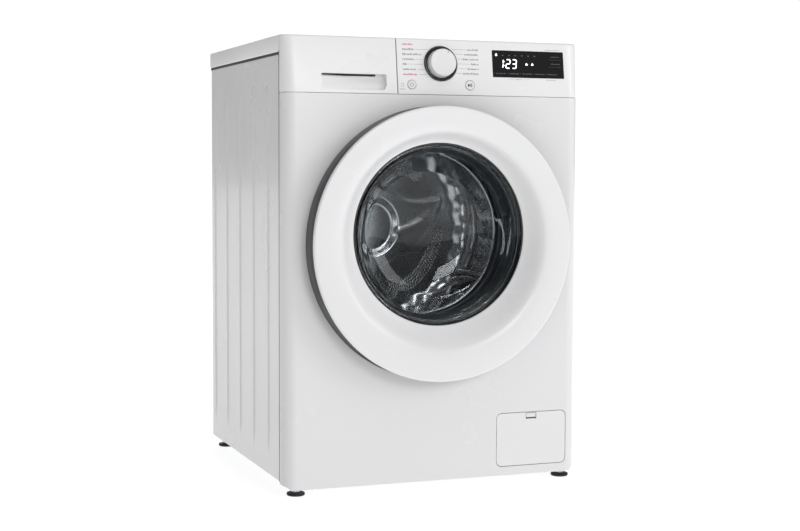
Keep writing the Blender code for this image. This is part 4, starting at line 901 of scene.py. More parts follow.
def buttons():
    """The power and start caps, each with a printed ring and a generic icon."""
    power = button("power_cap", "power_button", "power", 0.0088)
    start = button("start_cap", "start_button", "start", 0.0098)
    for name, place, body, radius in (("power", power, "power", 0.0088), ("start", start, "start", 0.0098)):
        circle = ring_mark(radius - 0.0012, 0.00055)
        marks(name + "_circle", circle, on_panel(place.x, place.z), INK_GREY, body, "button_plastic",
              out=0.00095, thick=0.0005)
    icon = ring_mark(0.0030, 0.0008, 120, 300, 30) + [bar_mark(-0.0004, 0.0010, 0.0008, 0.0034)]
    marks("power_icon", icon, on_panel(power.x, power.z), INK_GREY, "power", "button_plastic", out=0.00072,
          thick=0.0005)
    icon = [[(-0.0044, -0.0034), (0.0006, 0.0), (-0.0044, 0.0034)], bar_mark(0.0008, -0.0034, 0.0012, 0.0068),
            bar_mark(0.0030, -0.0034, 0.0011, 0.0068)]
    marks("start_icon", icon, on_panel(start.x, start.z), INK_DARK, "start", "button_plastic", out=0.00072,
          thick=0.0005)


def strokes(x, y, width, size):
    """Small upright strokes of uneven height that stand for a printed word, from x on along baseline y."""
    outlines = []
    place = x
    while place < x + width:
        wide = size * random.choice((0.26, 0.34, 0.42))
        tall = size * random.choice((0.68, 0.68, 0.72, 1.0))
        outlines.append(bar_mark(place, y, wide, tall))
        place += wide + size * random.choice((0.16, 0.20, 0.20, 0.45))
    return outlines


def panel_print():
    """Programme names as rows of strokes, with leader lines towards the knob, and the small icon."""
    origin = on_panel(KNOB.x, KNOB.z)
    size, leader, ring = 0.0036, 0.00045, 0.0365
    columns = (
        (-0.0762, 0.0359, 0.00952, (0.021, 0.023, 0.038, 0.022, 0.007, 0.026, 0.029)),
        (0.0768, 0.0282, 0.00914, (0.022, 0.028, 0.031, 0.014, 0.023, 0.032)),
    )
    grey, pink = [], []
    for edge, top, pitch, widths in columns:
        for row, width in enumerate(widths):
            middle_y = top - row * pitch
            first = edge if edge < 0 else edge - width
            coloured = edge < 0 and row in (0, 6)
            (pink if coloured else grey).extend(strokes(first, middle_y - size / 2, width, size))
            if edge < 0 and row in (0, 2):
                continue
            reach = math.sqrt(max(ring**2 - middle_y**2, 0.010**2))
            near, far = (edge + width + 0.002, -reach) if edge < 0 else (reach, edge - width - 0.002)
            if far > near:
                grey.append(bar_mark(near, middle_y - leader / 2, far - near, leader))
    marks("programme_print", grey, origin, INK_GREY, "cabinet", "panel_plastic")
    marks("programme_print_colour", pink, origin, INK_MAGENTA, "cabinet", "panel_plastic")
    small = on_panel(middle("power_button").x - 0.0185, middle("power_button").z - 0.001)
    icon = [bar_mark(-0.0028, -0.0036, 0.0040, 0.0003), bar_mark(-0.0028, 0.0020, 0.0040, 0.0003),
            bar_mark(-0.0028, -0.0036, 0.0003, 0.0058), bar_mark(0.0010, -0.0036, 0.0003, 0.0058)]
    icon += ring_mark(0.0024, 0.0003, -60, 200, 16) + strokes(-0.005, -0.0085, 0.009, 0.0016)
    marks("small_icon", icon, small, INK_GREY, "cabinet", "panel_plastic")
    x, z = middle("display_window").x, middle("display_window").z
    fine = strokes(0.035, 0.0285, 0.033, 0.0012) + strokes(-0.030, -0.0305, 0.016, 0.0012)
    fine += strokes(0.036, -0.0305, 0.022, 0.0012)
    fine += [bar_mark(-0.045, -0.0300, 0.012, 0.0003), bar_mark(-0.012, -0.0300, 0.014, 0.0003)]
    marks("display_surround_print", fine, on_panel(x, z), INK_GREY, "cabinet", "panel_plastic")


SEGMENTS = {1: "bc", 2: "abged", 3: "abgcd"}


def digit(number, x, y, width, height):
    """A seven-segment figure, each segment a bar with pointed ends, leaning a little."""
    stroke = 0.0022
    half = height / 2
    bars = {
        "a": (0, height, True), "g": (0, half, True), "d": (0, 0, True),
        "f": (0, half, False), "b": (width, half, False), "e": (0, 0, False), "c": (width, 0, False),
    }
    outlines = []
    for key in SEGMENTS[number]:
        left, low, level = bars[key]
        length = width if level else half
        end = length - stroke / 2
        shape = [(0.0004, 0), (stroke / 2, stroke / 2), (end, stroke / 2), (length - 0.0004, 0),
                 (end, -stroke / 2), (stroke / 2, -stroke / 2)]
        if not level:
            shape = [(-b, a) for a, b in shape]
        outlines.append([(x + left + a + 0.09 * (low + b), y + low + b) for a, b in shape])
    return outlines


def display():
    """The black window, its lit time, small lit icons and dim rows of print."""
    placed = on_panel(SCREEN_MIDDLE.x, SCREEN_MIDDLE.z)
    half_x, half_y = SCREEN_HALF
    pane = prism(rounded_outline(-half_x, -half_y, half_x, half_y, 0.0010, 3), -0.0025, 0.0003, placed)
    piece("display_pane", pane, SCREEN, "cabinet", ["display_window"], bevel=0.0002)
    lit = digit(1, -0.0620, -0.0080, 0.0082, 0.0165)
    lit += digit(2, -0.0475, -0.0080, 0.0082, 0.0165) + digit(3, -0.0345, -0.0080, 0.0082, 0.0165)
    lit += [bar_mark(-0.0515, y, 0.0018, 0.0018) for y in (-0.0040, 0.0035)]
    lit += [bar_mark(-0.0690, 0.0150, 0.0042, 0.0034), bar_mark(-0.0682, 0.0184, 0.0026, 0.0014)]
    for centre in (-0.0040, 0.0085):
        for k in range(3):
            angle = math.radians(90 + 120 * k)
            lit.append([(centre + 0.0010 * math.cos(angle) + 0.0016 * math.cos(t),
                         0.0010 * math.sin(angle) + 0.0016 * math.sin(t))
                        for t in (math.radians(45 * n) for n in range(8))])
    marks("display_lit", lit, placed, LIT_WHITE, "cabinet", "display_glass", out=0.00045)
    dim = []
    for start in (-0.068, -0.041, -0.014, 0.013, 0.040):
        dim += strokes(start, -0.0195, 0.020, 0.0024)
        dim.append(bar_mark(start - 0.0035, -0.0195, 0.0004, 0.0030))
    for y in (0.0150, 0.0010):
        dim += strokes(0.048, y, 0.019, 0.0024)
        dim.append(bar_mark(0.043, y - 0.0050, 0.027, 0.0003))
    dim += [bar_mark(-0.055 + 0.0135 * k, 0.0155, 0.0030, 0.0020) for k in range(6)]
    dim += ring_mark(0.0016, 0.0003, 0, 360, 12)
    marks("display_dim", dim, placed, INK_DIM, "cabinet", "display_glass", out=0.00042)


# ---------------------------------------------------------------- door
def door_ring():
    """The white ring. Its sections change centre, so that the funnel is deeper below the window."""
    steps = 160
    window = (WINDOW_RADIUS, AXIS_Z)
    front = curve_through([
        (RING_RADIUS, RING_Z, -0.0430), (RING_RADIUS, RING_Z, -0.0462), (0.2568, RING_Z, -0.0480),
        (0.2552, RING_Z, -0.0490), (0.2520, RING_Z, -0.0496), (0.2350, RING_Z, -0.0500),
        (0.2195, 0.4680, -0.0494), (0.2070, 0.4710, -0.0468), (0.1980, 0.4742, -0.0410),
        (0.1895, 0.4777, -0.0330), (0.1815, 0.4808, -0.0258), (0.1755, 0.4827, -0.0213),
        (0.1732, AXIS_Z, -0.0198), (*window, -0.0186),
    ], 4)
    back = [(*window, -0.0168), (0.1890, 0.4775, -0.0295), (0.2055, 0.4705, -0.0430),
            (0.2530, RING_Z, -0.0430)]
    rings = []
    for radius, centre, depth in [*front, *back]:
        rings.append([
            (radius * math.sin(a), at(depth), centre + radius * math.cos(a))
            for a in (2 * math.pi * i / steps for i in range(steps))
        ])
    piece("door_ring", skin(rings), ABS, "door", ["door_frame"], smooth_angle=50)


def door_window():
    """The glass bowl with its flange, and the polished ring that clamps it."""
    outside = curve_through([(0.1670, -0.0090), (0.1600, 0.0000), (0.1490, 0.0260), (0.1310, 0.0600),
                             (0.1150, 0.0750), (0.0850, 0.0850), (0.0400, 0.0889), (0.0, 0.0895)], 4)
    inside = curve_through([(0.0, 0.0855), (0.0400, 0.0849), (0.0835, 0.0812), (0.1125, 0.0718),
                            (0.1275, 0.0578), (0.1450, 0.0248), (0.1560, -0.0010), (0.1620, -0.0125)], 4)
    flange = [(0.1785, -0.0125), (0.1790, -0.0120), (0.1790, -0.0095), (0.1785, -0.0090)]
    profile = [*outside, *inside, *(Vector(point) for point in flange)]
    bowl = lathe([(max(p[0], 0.0), at(p[1])) for p in profile], axis_y(), 128, open_ends=False)
    piece("door_bowl", bowl, GLASS, "door", ["door_glass"], smooth_angle=60)
    ring = [(0.1686, -0.0130), (0.1686, -0.0178), (0.1690, -0.0184), (0.1707, -0.0186), (0.1712, -0.0181),
            (0.1712, -0.0163), (0.1779, -0.0162), (0.1780, -0.0130)]
    shape = lathe([(r, at(d)) for r, d in ring], axis_y(), 128)
    piece("window_rim", shape, BLACK_GLOSS, "door", ["glass_clamp"])


def door_back():
    """The door's dark back: a cup round the glass, with a bead, screws, the hinge notch and the hook slot."""
    # Its near-black is partly the inner frame's own dark plastic and partly painted shade: the flange just
    # behind the ring's edge stands for the dark line of shade between the ring and the panel.
    profile = [(0.1000, -0.0085), (0.2440, -0.0085), (0.2440, -0.0428), (0.2570, -0.0428), (0.2570, -0.0358),
               (0.2560, -0.0348), (0.2485, -0.0348), (0.2470, -0.0330), (0.2470, -0.0072)]
    profile += [(0.2470 - 0.0032 * (1 - math.cos(a)), -0.0072 + 0.0032 * math.sin(a))
                for a in (math.radians(18 * k) for k in range(1, 6))]
    profile += [(0.1000, -0.0040)]
    cup = lathe([(r, at(d)) for r, d in profile], axis_y(z=RING_Z), 128)
    hole = round_bar((0, at(-0.1), AXIS_Z), (0, at(0.1), AXIS_Z), 0.1700, 128)
    notch = block((-0.30, at(-0.0347), RING_Z - 0.050), (-0.203, at(0.01), RING_Z + 0.050), 0.004, 3,
                  along(1))
    arm_room = block((-0.2455, at(-0.0405), RING_Z - 0.050), (-0.203, at(-0.030), RING_Z + 0.050))
    slot = block((HOOK.x - 0.014, at(-0.02), RING_Z - 0.0075), (HOOK.x + 0.0125, at(0.01), RING_Z + 0.0075),
                 0.002, 3, along(1))
    bead_line = [(0.1702, -0.0060), (0.1702, -0.0030), (0.1712, -0.0022), (0.1740, -0.0022),
                 (0.1752, -0.0034), (0.1754, -0.0060)]
    bead = lathe([(r, at(d)) for r, d in bead_line], axis_y(), 128)
    shape = united(carved(cup, hole, notch, arm_room, slot), bead)
    piece("door_back", shape, GREY_ABS_AND_SHADE, "door", ["door_inner_frame"], bevel=0.0004)
    heads = []
    for k in range(12):
        angle = math.radians(30 * k + 15)
        x, z = 0.226 * math.cos(angle), RING_Z + 0.226 * math.sin(angle)
        if abs(z - RING_Z) > 0.052 or x > 0:
            heads.append(screw_head((x, at(-0.0042), z), (0, 1, 0), 0.0036))
    piece("door_screws", together(*heads), ZINC, "door")


def boot():
    """The folded rubber boot between the door opening and the tub."""
    line = curve_through([
        (0.1900, 0.0107), (0.1800, 0.0107), (0.1757, 0.0100), (0.1744, 0.0065), (0.1738, 0.0034),
        (0.1712, 0.0024),
        (0.1680, 0.0030), (0.1655, 0.0062), (0.1616, 0.0150), (0.1583, 0.0220), (0.1577, 0.0262),
        (0.1610, 0.0292), (0.1700, 0.0330), (0.1795, 0.0378), (0.1850, 0.0430), (0.1862, 0.0480),
        (0.1840, 0.0530), (0.1760, 0.0568), (0.1685, 0.0592), (0.1645, 0.0625), (0.1636, 0.0680),
        (0.1640, 0.0745),
    ], 3)
    half = 0.0011
    outer, inner = [], []
    for i, point in enumerate(line):
        heading = (line[min(i + 1, len(line) - 1)] - line[max(i - 1, 0)]).normalized()
        side = Vector((-heading[1], heading[0])) * half
        outer.append((point[0] + side[0], at(point[1] + side[1])))
        inner.append((point[0] - side[0], at(point[1] - side[1])))
    made = piece("boot", lathe([*outer, *inner[::-1]], axis_y(), 128), GASKET, None,
                 ["door_gasket"], smooth_angle=60)
    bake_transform(made)


# ---------------------------------------------------------------- drum
def tiles(columns, rows, place, holed, hole):
    """A sheet of square tiles over (u, v) in columns and rows. A tile that holed() names has a round hole of
    that radius, given in the tile's own share; place() turns (u, v) into a point."""
    shape = bmesh.new()
    corners = [(0, 0), (0.5, 0), (1, 0), (1, 0.5), (1, 1), (0.5, 1), (0, 1), (0, 0.5)]
    for i in range(columns):
        for j in range(rows):
            rim = [shape.verts.new(place(i + a, j + b)) for a, b in corners]
            if not holed(i, j):
                shape.faces.new(rim)
                continue
            ring = []
            for a, b in corners:
                away = Vector((a - 0.5, b - 0.5)).normalized() * hole
                ring.append(shape.verts.new(place(i + 0.5 + away.x, j + 0.5 + away.y)))
            for k in range(8):
                m = (k + 1) % 8
                shape.faces.new((rim[k], rim[m], ring[m], ring[k]))
    return shape


STAR_TIP = math.radians(109.5)
COLUMNS = 150


def star(radius, angle):
    """How far a point of the drum's back lies inside the pressed three-pointed star: 0 outside, 1 inside.
    The second value is 1 on the crease that runs from the hub to each point."""
    swept = angle - STAR_TIP + math.radians(30) * (0.177 - radius) / 0.117
    turn = swept % math.radians(120)
    away = min(turn, math.radians(120) - turn) / math.radians(60)
    edge = 0.090 + 0.090 * (1 - away) ** 2.5
    crease = max(0.0, 1 - away * radius / 0.010) * smooth((0.17 - radius) / 0.03)
    return smooth((edge - radius) / 0.007 + 0.5), crease


def drum_angle(u, v):
    """Where column u lies round the drum. Each row leans half a column, so that the holes are staggered."""
    return 2 * math.pi * (u + 0.5 * v) / COLUMNS


def drum_point(u, v, radius, y):
    """A point of the drum's sheet."""
    angle = drum_angle(u, v)
    return radius * math.sin(angle), y, AXIS_Z - radius * math.cos(angle)


def drum_wall():
    """The perforated steel drum: holes between raised staves, a fluted corner and the starred back."""
    inner = DRUM_RADIUS - 0.0015
    start, turn_y, back_y = at(0.1003), at(0.3500), at(0.3935)
    flat = 0.190
    wall_rows, corner_rows, back_rows, hub = 25, 8, 22, 0.054

    def wall_place(u, v):
        angle = drum_angle(u, v)
        across = abs((angle / math.radians(12) + 0.5) % 1 - 0.5)
        ends = smooth(min(v, wall_rows - v) / 3)
        radius = inner - 0.0032 * smooth(1 - across / 0.14) * ends
        return drum_point(u, v, radius, start + (turn_y - start) * v / wall_rows)

    def wall_holed(i, j):
        angle = drum_angle(i + 0.5, j + 0.5)
        across = abs((angle / math.radians(12) + 0.5) % 1 - 0.5)
        return across > 0.2 and 1 <= j <= wall_rows - 2

    def corner_place(u, v):
        turned = math.radians(90) * v / corner_rows
        shift = u + 0.5 * wall_rows
        angle = drum_angle(shift, v)
        flute = 0.0030 * math.sin(turned * 2) * (0.5 + 0.5 * math.cos(angle * 30))
        radius = flat + (inner - flat) * math.cos(turned) - flute * math.cos(turned)
        y = turn_y + (back_y - turn_y) * math.sin(turned) - flute * math.sin(turned)
        return drum_point(shift, v, radius, y)

    def back_radius(v):
        return flat + (hub - flat) * v / back_rows

    def back_place(u, v):
        radius = back_radius(v)
        shift = u + 0.5 * (wall_rows + corner_rows)
        angle = drum_angle(shift, v)
        raised, crease = star(radius, angle)
        ends = smooth(min(v, back_rows - v) / 2)
        pushed = (0.0080 * raised + 0.0045 * crease) * ends
        return drum_point(shift, v, radius, back_y - pushed)

    def back_holed(i, j):
        radius = back_radius(j + 0.5)
        angle = drum_angle(i + 0.5, wall_rows + corner_rows + j + 0.5)
        turn = (angle - STAR_TIP - math.radians(60)) % math.radians(120)
        away = min(turn, math.radians(120) - turn)
        return 0.140 < radius < 0.172 and away < math.radians(37)

    wall_hole, back_hole = 0.17, 0.30
    wall = tiles(COLUMNS, wall_rows, wall_place, wall_holed, wall_hole)
    corner = tiles(COLUMNS, corner_rows, corner_place, lambda i, j: False, back_hole)
    back = tiles(COLUMNS, back_rows, back_place, back_holed, back_hole)
    dome = [(hub, 0.0), (hub * 0.9, 0.0004), (hub * 0.6, 0.0012), (0.0, 0.0020)]
    cap = lathe([(radius, back_y - rise) for radius, rise in dome], axis_y(), COLUMNS * 2, open_ends=True)
    shape = together(wall, corner, back, cap)
    bmesh.ops.remove_doubles(shape, verts=shape.verts, dist=0.00002)
    bmesh.ops.recalc_face_normals(shape, faces=shape.faces)
    made = piece("drum_wall", shape, DRUM_STEEL, "drum", ["drum_shell"], smooth_angle=60)
    thick = made.modifiers.new("sheet", "SOLIDIFY")
    thick.thickness = 0.0008
    thick.offset = 1.0


def drum_mouth():
    """The drum's front: a dished ring in to the rolled lip."""
    lip, wall = 0.1615, DRUM_RADIUS
    profile = [(lip - 0.0032 * math.cos(a), at(0.0912 - 0.0032 * math.sin(a)))
               for a in (math.radians(20 * k - 60) for k in range(10))]
    profile += [(0.1700, at(0.0893)), (0.1850, at(0.0912)), (0.2050, at(0.0936)), (wall - 0.008, at(0.0945)),
                (wall - 0.0018, at(0.0962)), (wall, at(0.1000)), (wall - 0.0010, at(0.1000)),
                (wall - 0.0040, at(0.0972)), (wall - 0.0085, at(0.0957)), (0.2050, at(0.0948)),
                (0.1850, at(0.0924)), (0.1700, at(0.0905)), (lip + 0.0005, at(0.0900))]
    piece("drum_mouth", lathe(profile, axis_y(), 128), DRUM_STEEL, "drum", ["drum_front"],
          smooth_angle=60)


def lifter(number):
    """A pressed steel paddle: a swelling ridge with tapered ends and two rows of dimples."""
    count, across = 36, 20
    seat, tall = DRUM_RADIUS - 0.0035, 0.044
    low_y, high_y = at(0.125), at(0.372)
    rings = []
    for i in range(count + 1):
        share = i / count
        y = low_y + (high_y - low_y) * share
        taper = smooth(min(share, 1 - share) / 0.16)
        height = 0.002 + (tall - 0.002) * taper
        half = 0.020 + 0.011 * taper
        ring = []
        for k in range(across + 1):
            w = -1 + 2 * k / across
            rise = (0.5 + 0.5 * math.cos(math.pi * w)) ** 0.8
            beside = math.exp(-((abs(w) - 0.45) / 0.12) ** 2)
            dimple = 0.0018 * max(0.0, math.cos(share * math.pi * 14)) ** 4 * beside
            ring.append((w * half, y, -(seat - height * rise + dimple)))
        ring += [(half * (1 - 2 * k / 3), y, -(seat + 0.0012)) for k in range(4)]
        rings.append(ring)
    shape = skin(rings, closed=False, caps=True)
    turn = Matrix.Rotation(math.radians(120 * (number - 1) + 60), 4, "Y")
    bmesh.ops.transform(shape, matrix=Matrix.Translation((0, 0, AXIS_Z)) @ turn, verts=shape.verts)
    piece(f"lifter_{number}", shape, LIFTER_STEEL, "drum", [f"drum_lifter_{number}"],
          smooth_angle=50)


# ---------------------------------------------------------------- springs, hoses, feet, flap and pump
def spring(side, name):
    """A close-wound tension spring with a short straight stem at each end."""
    low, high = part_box("suspension_spring_" + name)
    x, y = side * abs((low.x + high.x) / 2), (low.y + high.y) / 2
    turns, per_turn, radius = 22, 14, 0.0086
    bottom, top = low.z + 0.012, high.z - 0.012
    path = [(x, y, low.z + 0.0012), (x, y, low.z + 0.006)]
    for i in range(turns * per_turn + 1):
        angle = 2 * math.pi * i / per_turn
        z = bottom + (top - bottom) * i / (turns * per_turn)
        path.append((x + radius * math.cos(angle), y + radius * math.sin(angle), z))
    path += [(x, y, high.z - 0.006), (x, y, high.z - 0.0012)]
    made = piece(f"spring_{name}", pipe(path, 0.0015, 8), SPRING_STEEL, None,
                 ["suspension_spring_" + name], smooth_angle=60)
    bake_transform(made)


def bellows(path_points, radius, count, ridge, waves, sides=24):
    """A corrugated hose along a smooth path."""
    path = curve_through(path_points, count)
    radii = []
    for i in range(len(path)):
        share = i / (len(path) - 1)
        ends = smooth(min(share, 1 - share) / 0.08)
        radii.append(radius - ridge * ends * (0.5 + 0.5 * math.cos(2 * math.pi * waves * share)))
    return pipe(path, radius, sides, radii)


def hoses():
    """The bellows between tub and pump, and the ribbed drain line up the back."""
    start = 0.034
    pump = middle("pump_impeller")
    route = [(0.030, at(0.180), AXIS_Z - 0.2730), (0.030, at(0.180), 0.200), (0.055, at(0.165), 0.182),
             (0.150, at(0.085), 0.172), (pump.x - 0.02, at(start + 0.03), 0.158),
             (pump.x - 0.02, at(start + 0.03), 0.136)]
    shape = bellows(route, 0.0150, 22, 0.0030, 14)
    made = piece("sump_bellows", shape, RUBBER, None, ["sump_hose"], smooth_angle=60)
    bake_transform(made)
    rise_y = BACK - 0.030
    route = [(pump.x + 0.0508, at(start + 0.07), pump.z), (0.263, at(start + 0.07), pump.z),
             (0.276, at(start + 0.10), pump.z - 0.004), (0.276, at(start + 0.20), pump.z - 0.02),
             (0.270, rise_y - 0.04, pump.z - 0.01), (0.240, rise_y, 0.120), (0.0, rise_y, 0.150),
             (-0.215, rise_y, 0.190), (-0.235, rise_y, 0.320), (-0.235, rise_y, 0.700),
             (-0.235, rise_y + 0.004, 0.730), (-0.235, BACK - 0.0160, 0.740), (-0.235, BACK - 0.0010, 0.740)]
    shape = bellows(route, 0.0098, 16, 0.0014, 90, 16)
    piece("drain_line", shape, RUBBER, "cabinet", ["drain_hose"], smooth_angle=60)


def foot(node):
    """A levelling foot: ribbed rubber pad, threaded stud and lock nut."""
    low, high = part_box(node)
    x, y = (low.x + high.x) / 2, (low.y + high.y) / 2
    radius = (high.x - low.x) / 2
    thick = 0.0068
    upright = Matrix.Translation((x, y, 0))
    pad = [(0, 0), (radius - 0.0024, 0), (radius - 0.0006, 0.0008), (radius, 0.0020), (radius, 0.0030),
           (radius - 0.0007, 0.0034), (radius - 0.0007, 0.0040), (radius, 0.0044), (radius - 0.0003, 0.0054),
           (radius - 0.0016, 0.0060), (radius - 0.0040, 0.0060), (0.0105, thick - 0.0004), (0.0090, thick),
           (0, thick)]
    piece(node.replace("foot", "pad"), lathe(pad, upright, 48), RUBBER, node, [node],
          smooth_angle=50)
    thread = [(0, thick - 0.001), (0.0050, thick - 0.001)]
    z, pitch = thick + 0.0004, 0.0015
    while z < high.z - 0.002:
        thread += [(0.0050, z), (0.0043, z + pitch / 2)]
        z += pitch
    thread += [(0.0044, high.z - 0.0010), (0.0036, high.z), (0, high.z)]
    stud = lathe(thread, upright, 24)
    across = 0.0093
    corners = [math.radians(60 * k) for k in range(6)]
    hexagon = [(across * math.cos(corner), across * math.sin(corner)) for corner in corners]
    nut = prism(hexagon, thick + 0.0001, thick + 0.0056, upright)
    piece(node.replace("foot", "stud"), stud, ZINC, node, smooth_angle=50)
    piece(node.replace("foot", "nut"), nut, ZINC, node, bevel=0.0006)


def service_flap():
    """The flap over the drain filter, with its finger latch at the top."""
    latch_left, latch_right, top = 0.1900, 0.2125, FLAP_HIGH.z
    low = (FLAP_LOW.x, at(0.0002), FLAP_LOW.z)
    high = (FLAP_HIGH.x, at(0.0030), top)
    shape = block(low, high, 0.0105, 8, along(1))
    pocket = block((latch_left, at(-0.01), top - 0.0128), (latch_right, at(0.0022), top - 0.0012),
                   0.0012, 2, along(1))
    shape = carved(shape, pocket)
    piece("flap_panel", shape, ABS, "flap", ["filter_flap"], bevel=0.0005, segments=3)
    tab = block((latch_left + 0.0011, at(0.0002), top - 0.0100),
                (latch_right - 0.0015, at(0.0020), top - 0.0020))
    piece("flap_tab", tab, ABS, "flap", bevel=0.0004)
    clip = block((latch_left + 0.003, at(0.0028), top - 0.0100),
                 (latch_right - 0.003, at(0.0065), top - 0.0020))
    piece("flap_clip", clip, ABS, "flap", bevel=0.0005)
    # Painted shade: a black sheet on the pocket's floor round the tab, standing for the dark gap there.
    shadow = block((latch_left + 0.0002, at(0.0021), top - 0.0126),
                   (latch_right - 0.0002, at(0.0026), top - 0.0014))
    piece("flap_latch_shade", shadow, BLACK_ABS_AND_SHADE, "flap", bevel=0.0001)


def inlet_thread():
    """The threaded collar of the water inlet, in the valve's port."""
    x, z = 0.205, 0.780
    profile = [(0.0104, BACK - 0.012), (0.0131, BACK - 0.012)]
    for k in range(6):
        y = BACK - 0.0105 + 0.0016 * k
        profile += [(0.0131, y), (0.0121, y + 0.0008)]
    profile += [(0.0128, BACK - 0.0006), (0.0104, BACK - 0.0006)]
    piece("inlet_thread", lathe(profile, axis_y(x, z), 48), POLYPROPYLENE, "cabinet")


def carried_over():
    """CAD nodes whose mesh shows as it is."""
    for node, look, slot, bevel in (
        ("base_pan", GALVANISED, "galvanised", 0.0008),
        ("power_board", BOARD, "circuit_board", 0.0003),
        ("dispenser_housing", POLYPROPYLENE, "inner_plastic", 0.0006),
        ("inlet_valve", POLYPROPYLENE, "inner_plastic", 0.0006),
        ("mains_inlet", BLACK_ABS_AND_SHADE, "black_plastic", 0.0006),
        ("door_lock", GREY_ABS_AND_SHADE, "grey_plastic", 0.0005),
        ("hinge_bracket", HINGE_SHADE_STEEL, "zinc_steel", 0.0005),
        ("hinge_pin", STAINLESS, "stainless", 0.0003),
        ("hinge_arm", HINGE_SHADE_STEEL, "zinc_steel", 0.0005),
        ("door_hook", ZINC, "zinc_steel", 0.0004),
        ("damper_cylinder_left", BLACK_ABS_AND_SHADE, "black_plastic", 0.0006),
        ("damper_cylinder_right", BLACK_ABS_AND_SHADE, "black_plastic", 0.0006),
        ("damper_rod_left", ZINC, "zinc_steel", 0.0004),
        ("damper_rod_right", ZINC, "zinc_steel", 0.0004),
        ("pump_housing", BLACK_ABS_AND_SHADE, "black_plastic", 0.0005),
        ("pump_filter", BLACK_ABS_AND_SHADE, "black_plastic", 0.0006),
        ("pump_impeller", GREY_ABS_AND_SHADE, "grey_plastic", 0.0003),
        ("tub_front", TUB, "tub_plastic", 0.0006),
        ("tub_rear", TUB, "tub_plastic", 0.0006),
        ("counterweight", CONCRETE, "concrete", 0.0020),
        ("heater", STAINLESS, "stainless", 0.0003),
        ("bearing_front", BEARING_STEEL, "bearing_steel", 0.0006),
        ("bearing_rear", BEARING_STEEL, "bearing_steel", 0.0006),
        ("motor_stator", WINDINGS, "windings", 0.0010),
        ("motor_rotor", ZINC, "zinc_steel", 0.0006),
        ("drum_spider", CAST_ALUMINIUM, "cast_aluminium", 0.0015),
        ("drum_shaft", BEARING_STEEL, "bearing_steel", 0.0004),
    ):
        keep(node, look, bevel)


# ---------------------------------------------------------------- floor, light and camera
def floor():
    """A white disc that glows a little, the more so away from the machine, so its far edge is white."""
    shape = bmesh.new()
    bmesh.ops.create_circle(shape, cap_ends=True, segments=96, radius=40)
    mesh = bpy.data.meshes.new("floor")
    shape.to_mesh(mesh)
    shape.free()
    look = material("pale_floor", (0.30, 0.30, 0.30), 0.7, shade=0.01, blotch=0.5, grain=40, height=0.00001,
                    Emission_Color=(1, 1, 1, 1), Specular_IOR_Level=0.1)
    nodes, links = look.node_tree.nodes, look.node_tree.links
    reach = nodes.new("ShaderNodeVectorMath")
    reach.operation = "LENGTH"
    links.new(nodes.new("ShaderNodeTexCoord").outputs["Object"], reach.inputs[0])
    glow = nodes.new("ShaderNodeMapRange")
    glow.inputs["From Min"].default_value = 0.5
    glow.inputs["From Max"].default_value = 3.0
    glow.inputs["To Min"].default_value = 0.86
    glow.inputs["To Max"].default_value = 0.95
    links.new(reach.outputs["Value"], glow.inputs["Value"])
    links.new(glow.outputs["Result"], nodes["Principled BSDF"].inputs["Emission Strength"])
    mesh.materials.append(look)
    made = bpy.data.objects.new("floor", mesh)
    bpy.context.scene.collection.objects.link(made)


def soft_box(name, place, aim, size, power):
    """A rectangular light at a place, turned toward its aim."""
    light = bpy.data.lights.new(name, "AREA")
    light.shape = "RECTANGLE"
    light.size, light.size_y = size
    light.energy = power
    made = bpy.data.objects.new(name, light)
    made.location = place
    made.rotation_euler = (Vector(aim) - Vector(place)).to_track_quat("-Z", "Y").to_euler()
    bpy.context.scene.collection.objects.link(made)
    return made


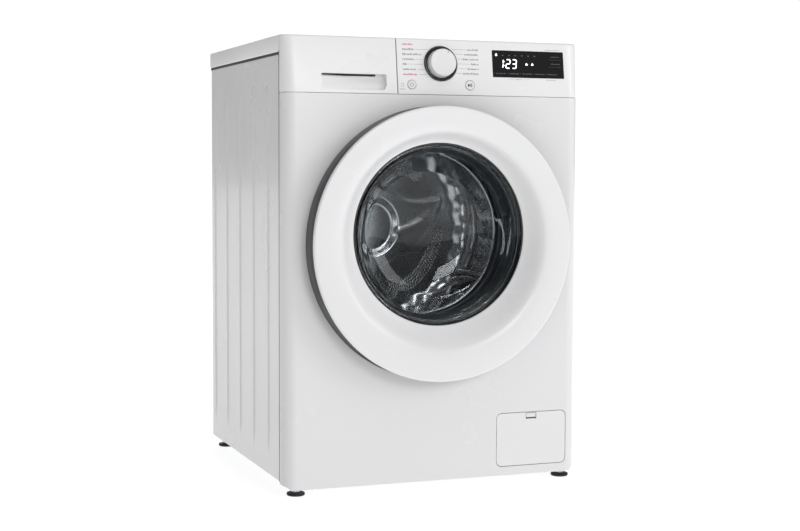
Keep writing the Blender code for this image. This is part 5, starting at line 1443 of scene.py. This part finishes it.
def studio():
    """A white room: a large soft box at the front right, one in front, weaker ones at the left, above and
    behind, and two small strips inside the drum."""
    world = bpy.data.worlds.new("white_room")
    bpy.context.scene.world = world
    world.use_nodes = True
    nodes, links = world.node_tree.nodes, world.node_tree.links
    background = nodes["Background"]
    background.inputs["Color"].default_value = (1, 1, 1, 1)
    toward = nodes.new("ShaderNodeVectorMath")
    toward.operation = "DOT_PRODUCT"
    toward.inputs[1].default_value = (-0.88, -0.46, 0.10)
    links.new(nodes.new("ShaderNodeTexCoord").outputs["Generated"], toward.inputs[0])
    shaded = nodes.new("ShaderNodeMapRange")
    shaded.interpolation_type = "SMOOTHSTEP"
    shaded.inputs["From Min"].default_value = 0.10
    shaded.inputs["From Max"].default_value = 0.92
    shaded.inputs["To Min"].default_value = 0.34
    shaded.inputs["To Max"].default_value = 0.08
    links.new(toward.outputs["Value"], shaded.inputs["Value"])
    path = nodes.new("ShaderNodeLightPath")
    strength = nodes.new("ShaderNodeMapRange")
    strength.inputs["To Max"].default_value = 1.05
    links.new(shaded.outputs["Result"], strength.inputs["To Min"])
    links.new(path.outputs["Is Camera Ray"], strength.inputs["Value"])
    links.new(strength.outputs["Result"], background.inputs["Strength"])
    aim = (0, FRONT + 0.2, 0.45)
    for name, place, size, power in (
        ("key", (5.2, -4.4, 2.8), (3.0, 3.2), 98),
        ("front", (0.6, -5.5, 2.2), (1.6, 1.6), 57),
        ("side_fill", (-4.2, 2.4, 3.0), (2.4, 2.4), 11),
        ("overhead", (0.2, -0.8, 3.2), (2.6, 2.0), 14),
        ("back_fill", (1.0, 3.4, 1.8), (2.4, 2.0), 24),
    ):
        soft_box(name, place, aim, size, power)
    drum_back = (0.02, at(0.39), AXIS_Z - 0.03)
    soft_box("drum_top_strip", (0.02, at(0.135), AXIS_Z + 0.196), drum_back, (0.16, 0.02), 0.14)
    soft_box("drum_left_strip", (-0.196, at(0.135), AXIS_Z), drum_back, (0.02, 0.16), 0.07)


def camera():
    """The camera stands to the left in front of the machine, above its middle, and looks slightly down."""
    yaw, pitch, roll = math.radians(20.516), math.radians(3.837), math.radians(0.209)
    forward = Vector((math.sin(yaw) * math.cos(pitch), math.cos(yaw) * math.cos(pitch), -math.sin(pitch)))
    right = Vector((math.cos(yaw), -math.sin(yaw), 0))
    up = right.cross(forward)
    rolled_right = math.cos(roll) * right + math.sin(roll) * up
    rolled_up = math.cos(roll) * up - math.sin(roll) * right
    turn = Matrix((rolled_right, rolled_up, -forward)).transposed()
    lens = bpy.data.cameras.new("camera")
    lens.lens = 68.3
    lens.sensor_width = 36
    lens.clip_start = 0.05
    made = bpy.data.objects.new("camera", lens)
    made.matrix_world = Matrix.Translation((-1.0687, -2.9176, 0.6155)) @ turn.to_4x4()
    bpy.context.scene.collection.objects.link(made)
    bpy.context.scene.camera = made


door_panel()
recess_shade_ring()
seam_strip()
side_wall("wall_left", "side_panel_left", -1)
side_wall("wall_right", "side_panel_right", 1)
top_slab()
back_wall()
back_cover()
back_fixings()
control_fascia()
drawer_face()
detergent_tray()
knob()
buttons()
panel_print()
display()
door_ring()
door_window()
door_back()
boot()
drum_wall()
drum_mouth()
for lifter_number in (1, 2, 3):
    lifter(lifter_number)
spring(-1, "left")
spring(1, "right")
hoses()
for foot_node in ("foot_front_left", "foot_front_right", "foot_rear_left", "foot_rear_right"):
    foot(foot_node)
service_flap()
inlet_thread()
carried_over()
floor()
studio()
camera()
bpy.context.scene.view_settings.view_transform = "Standard"
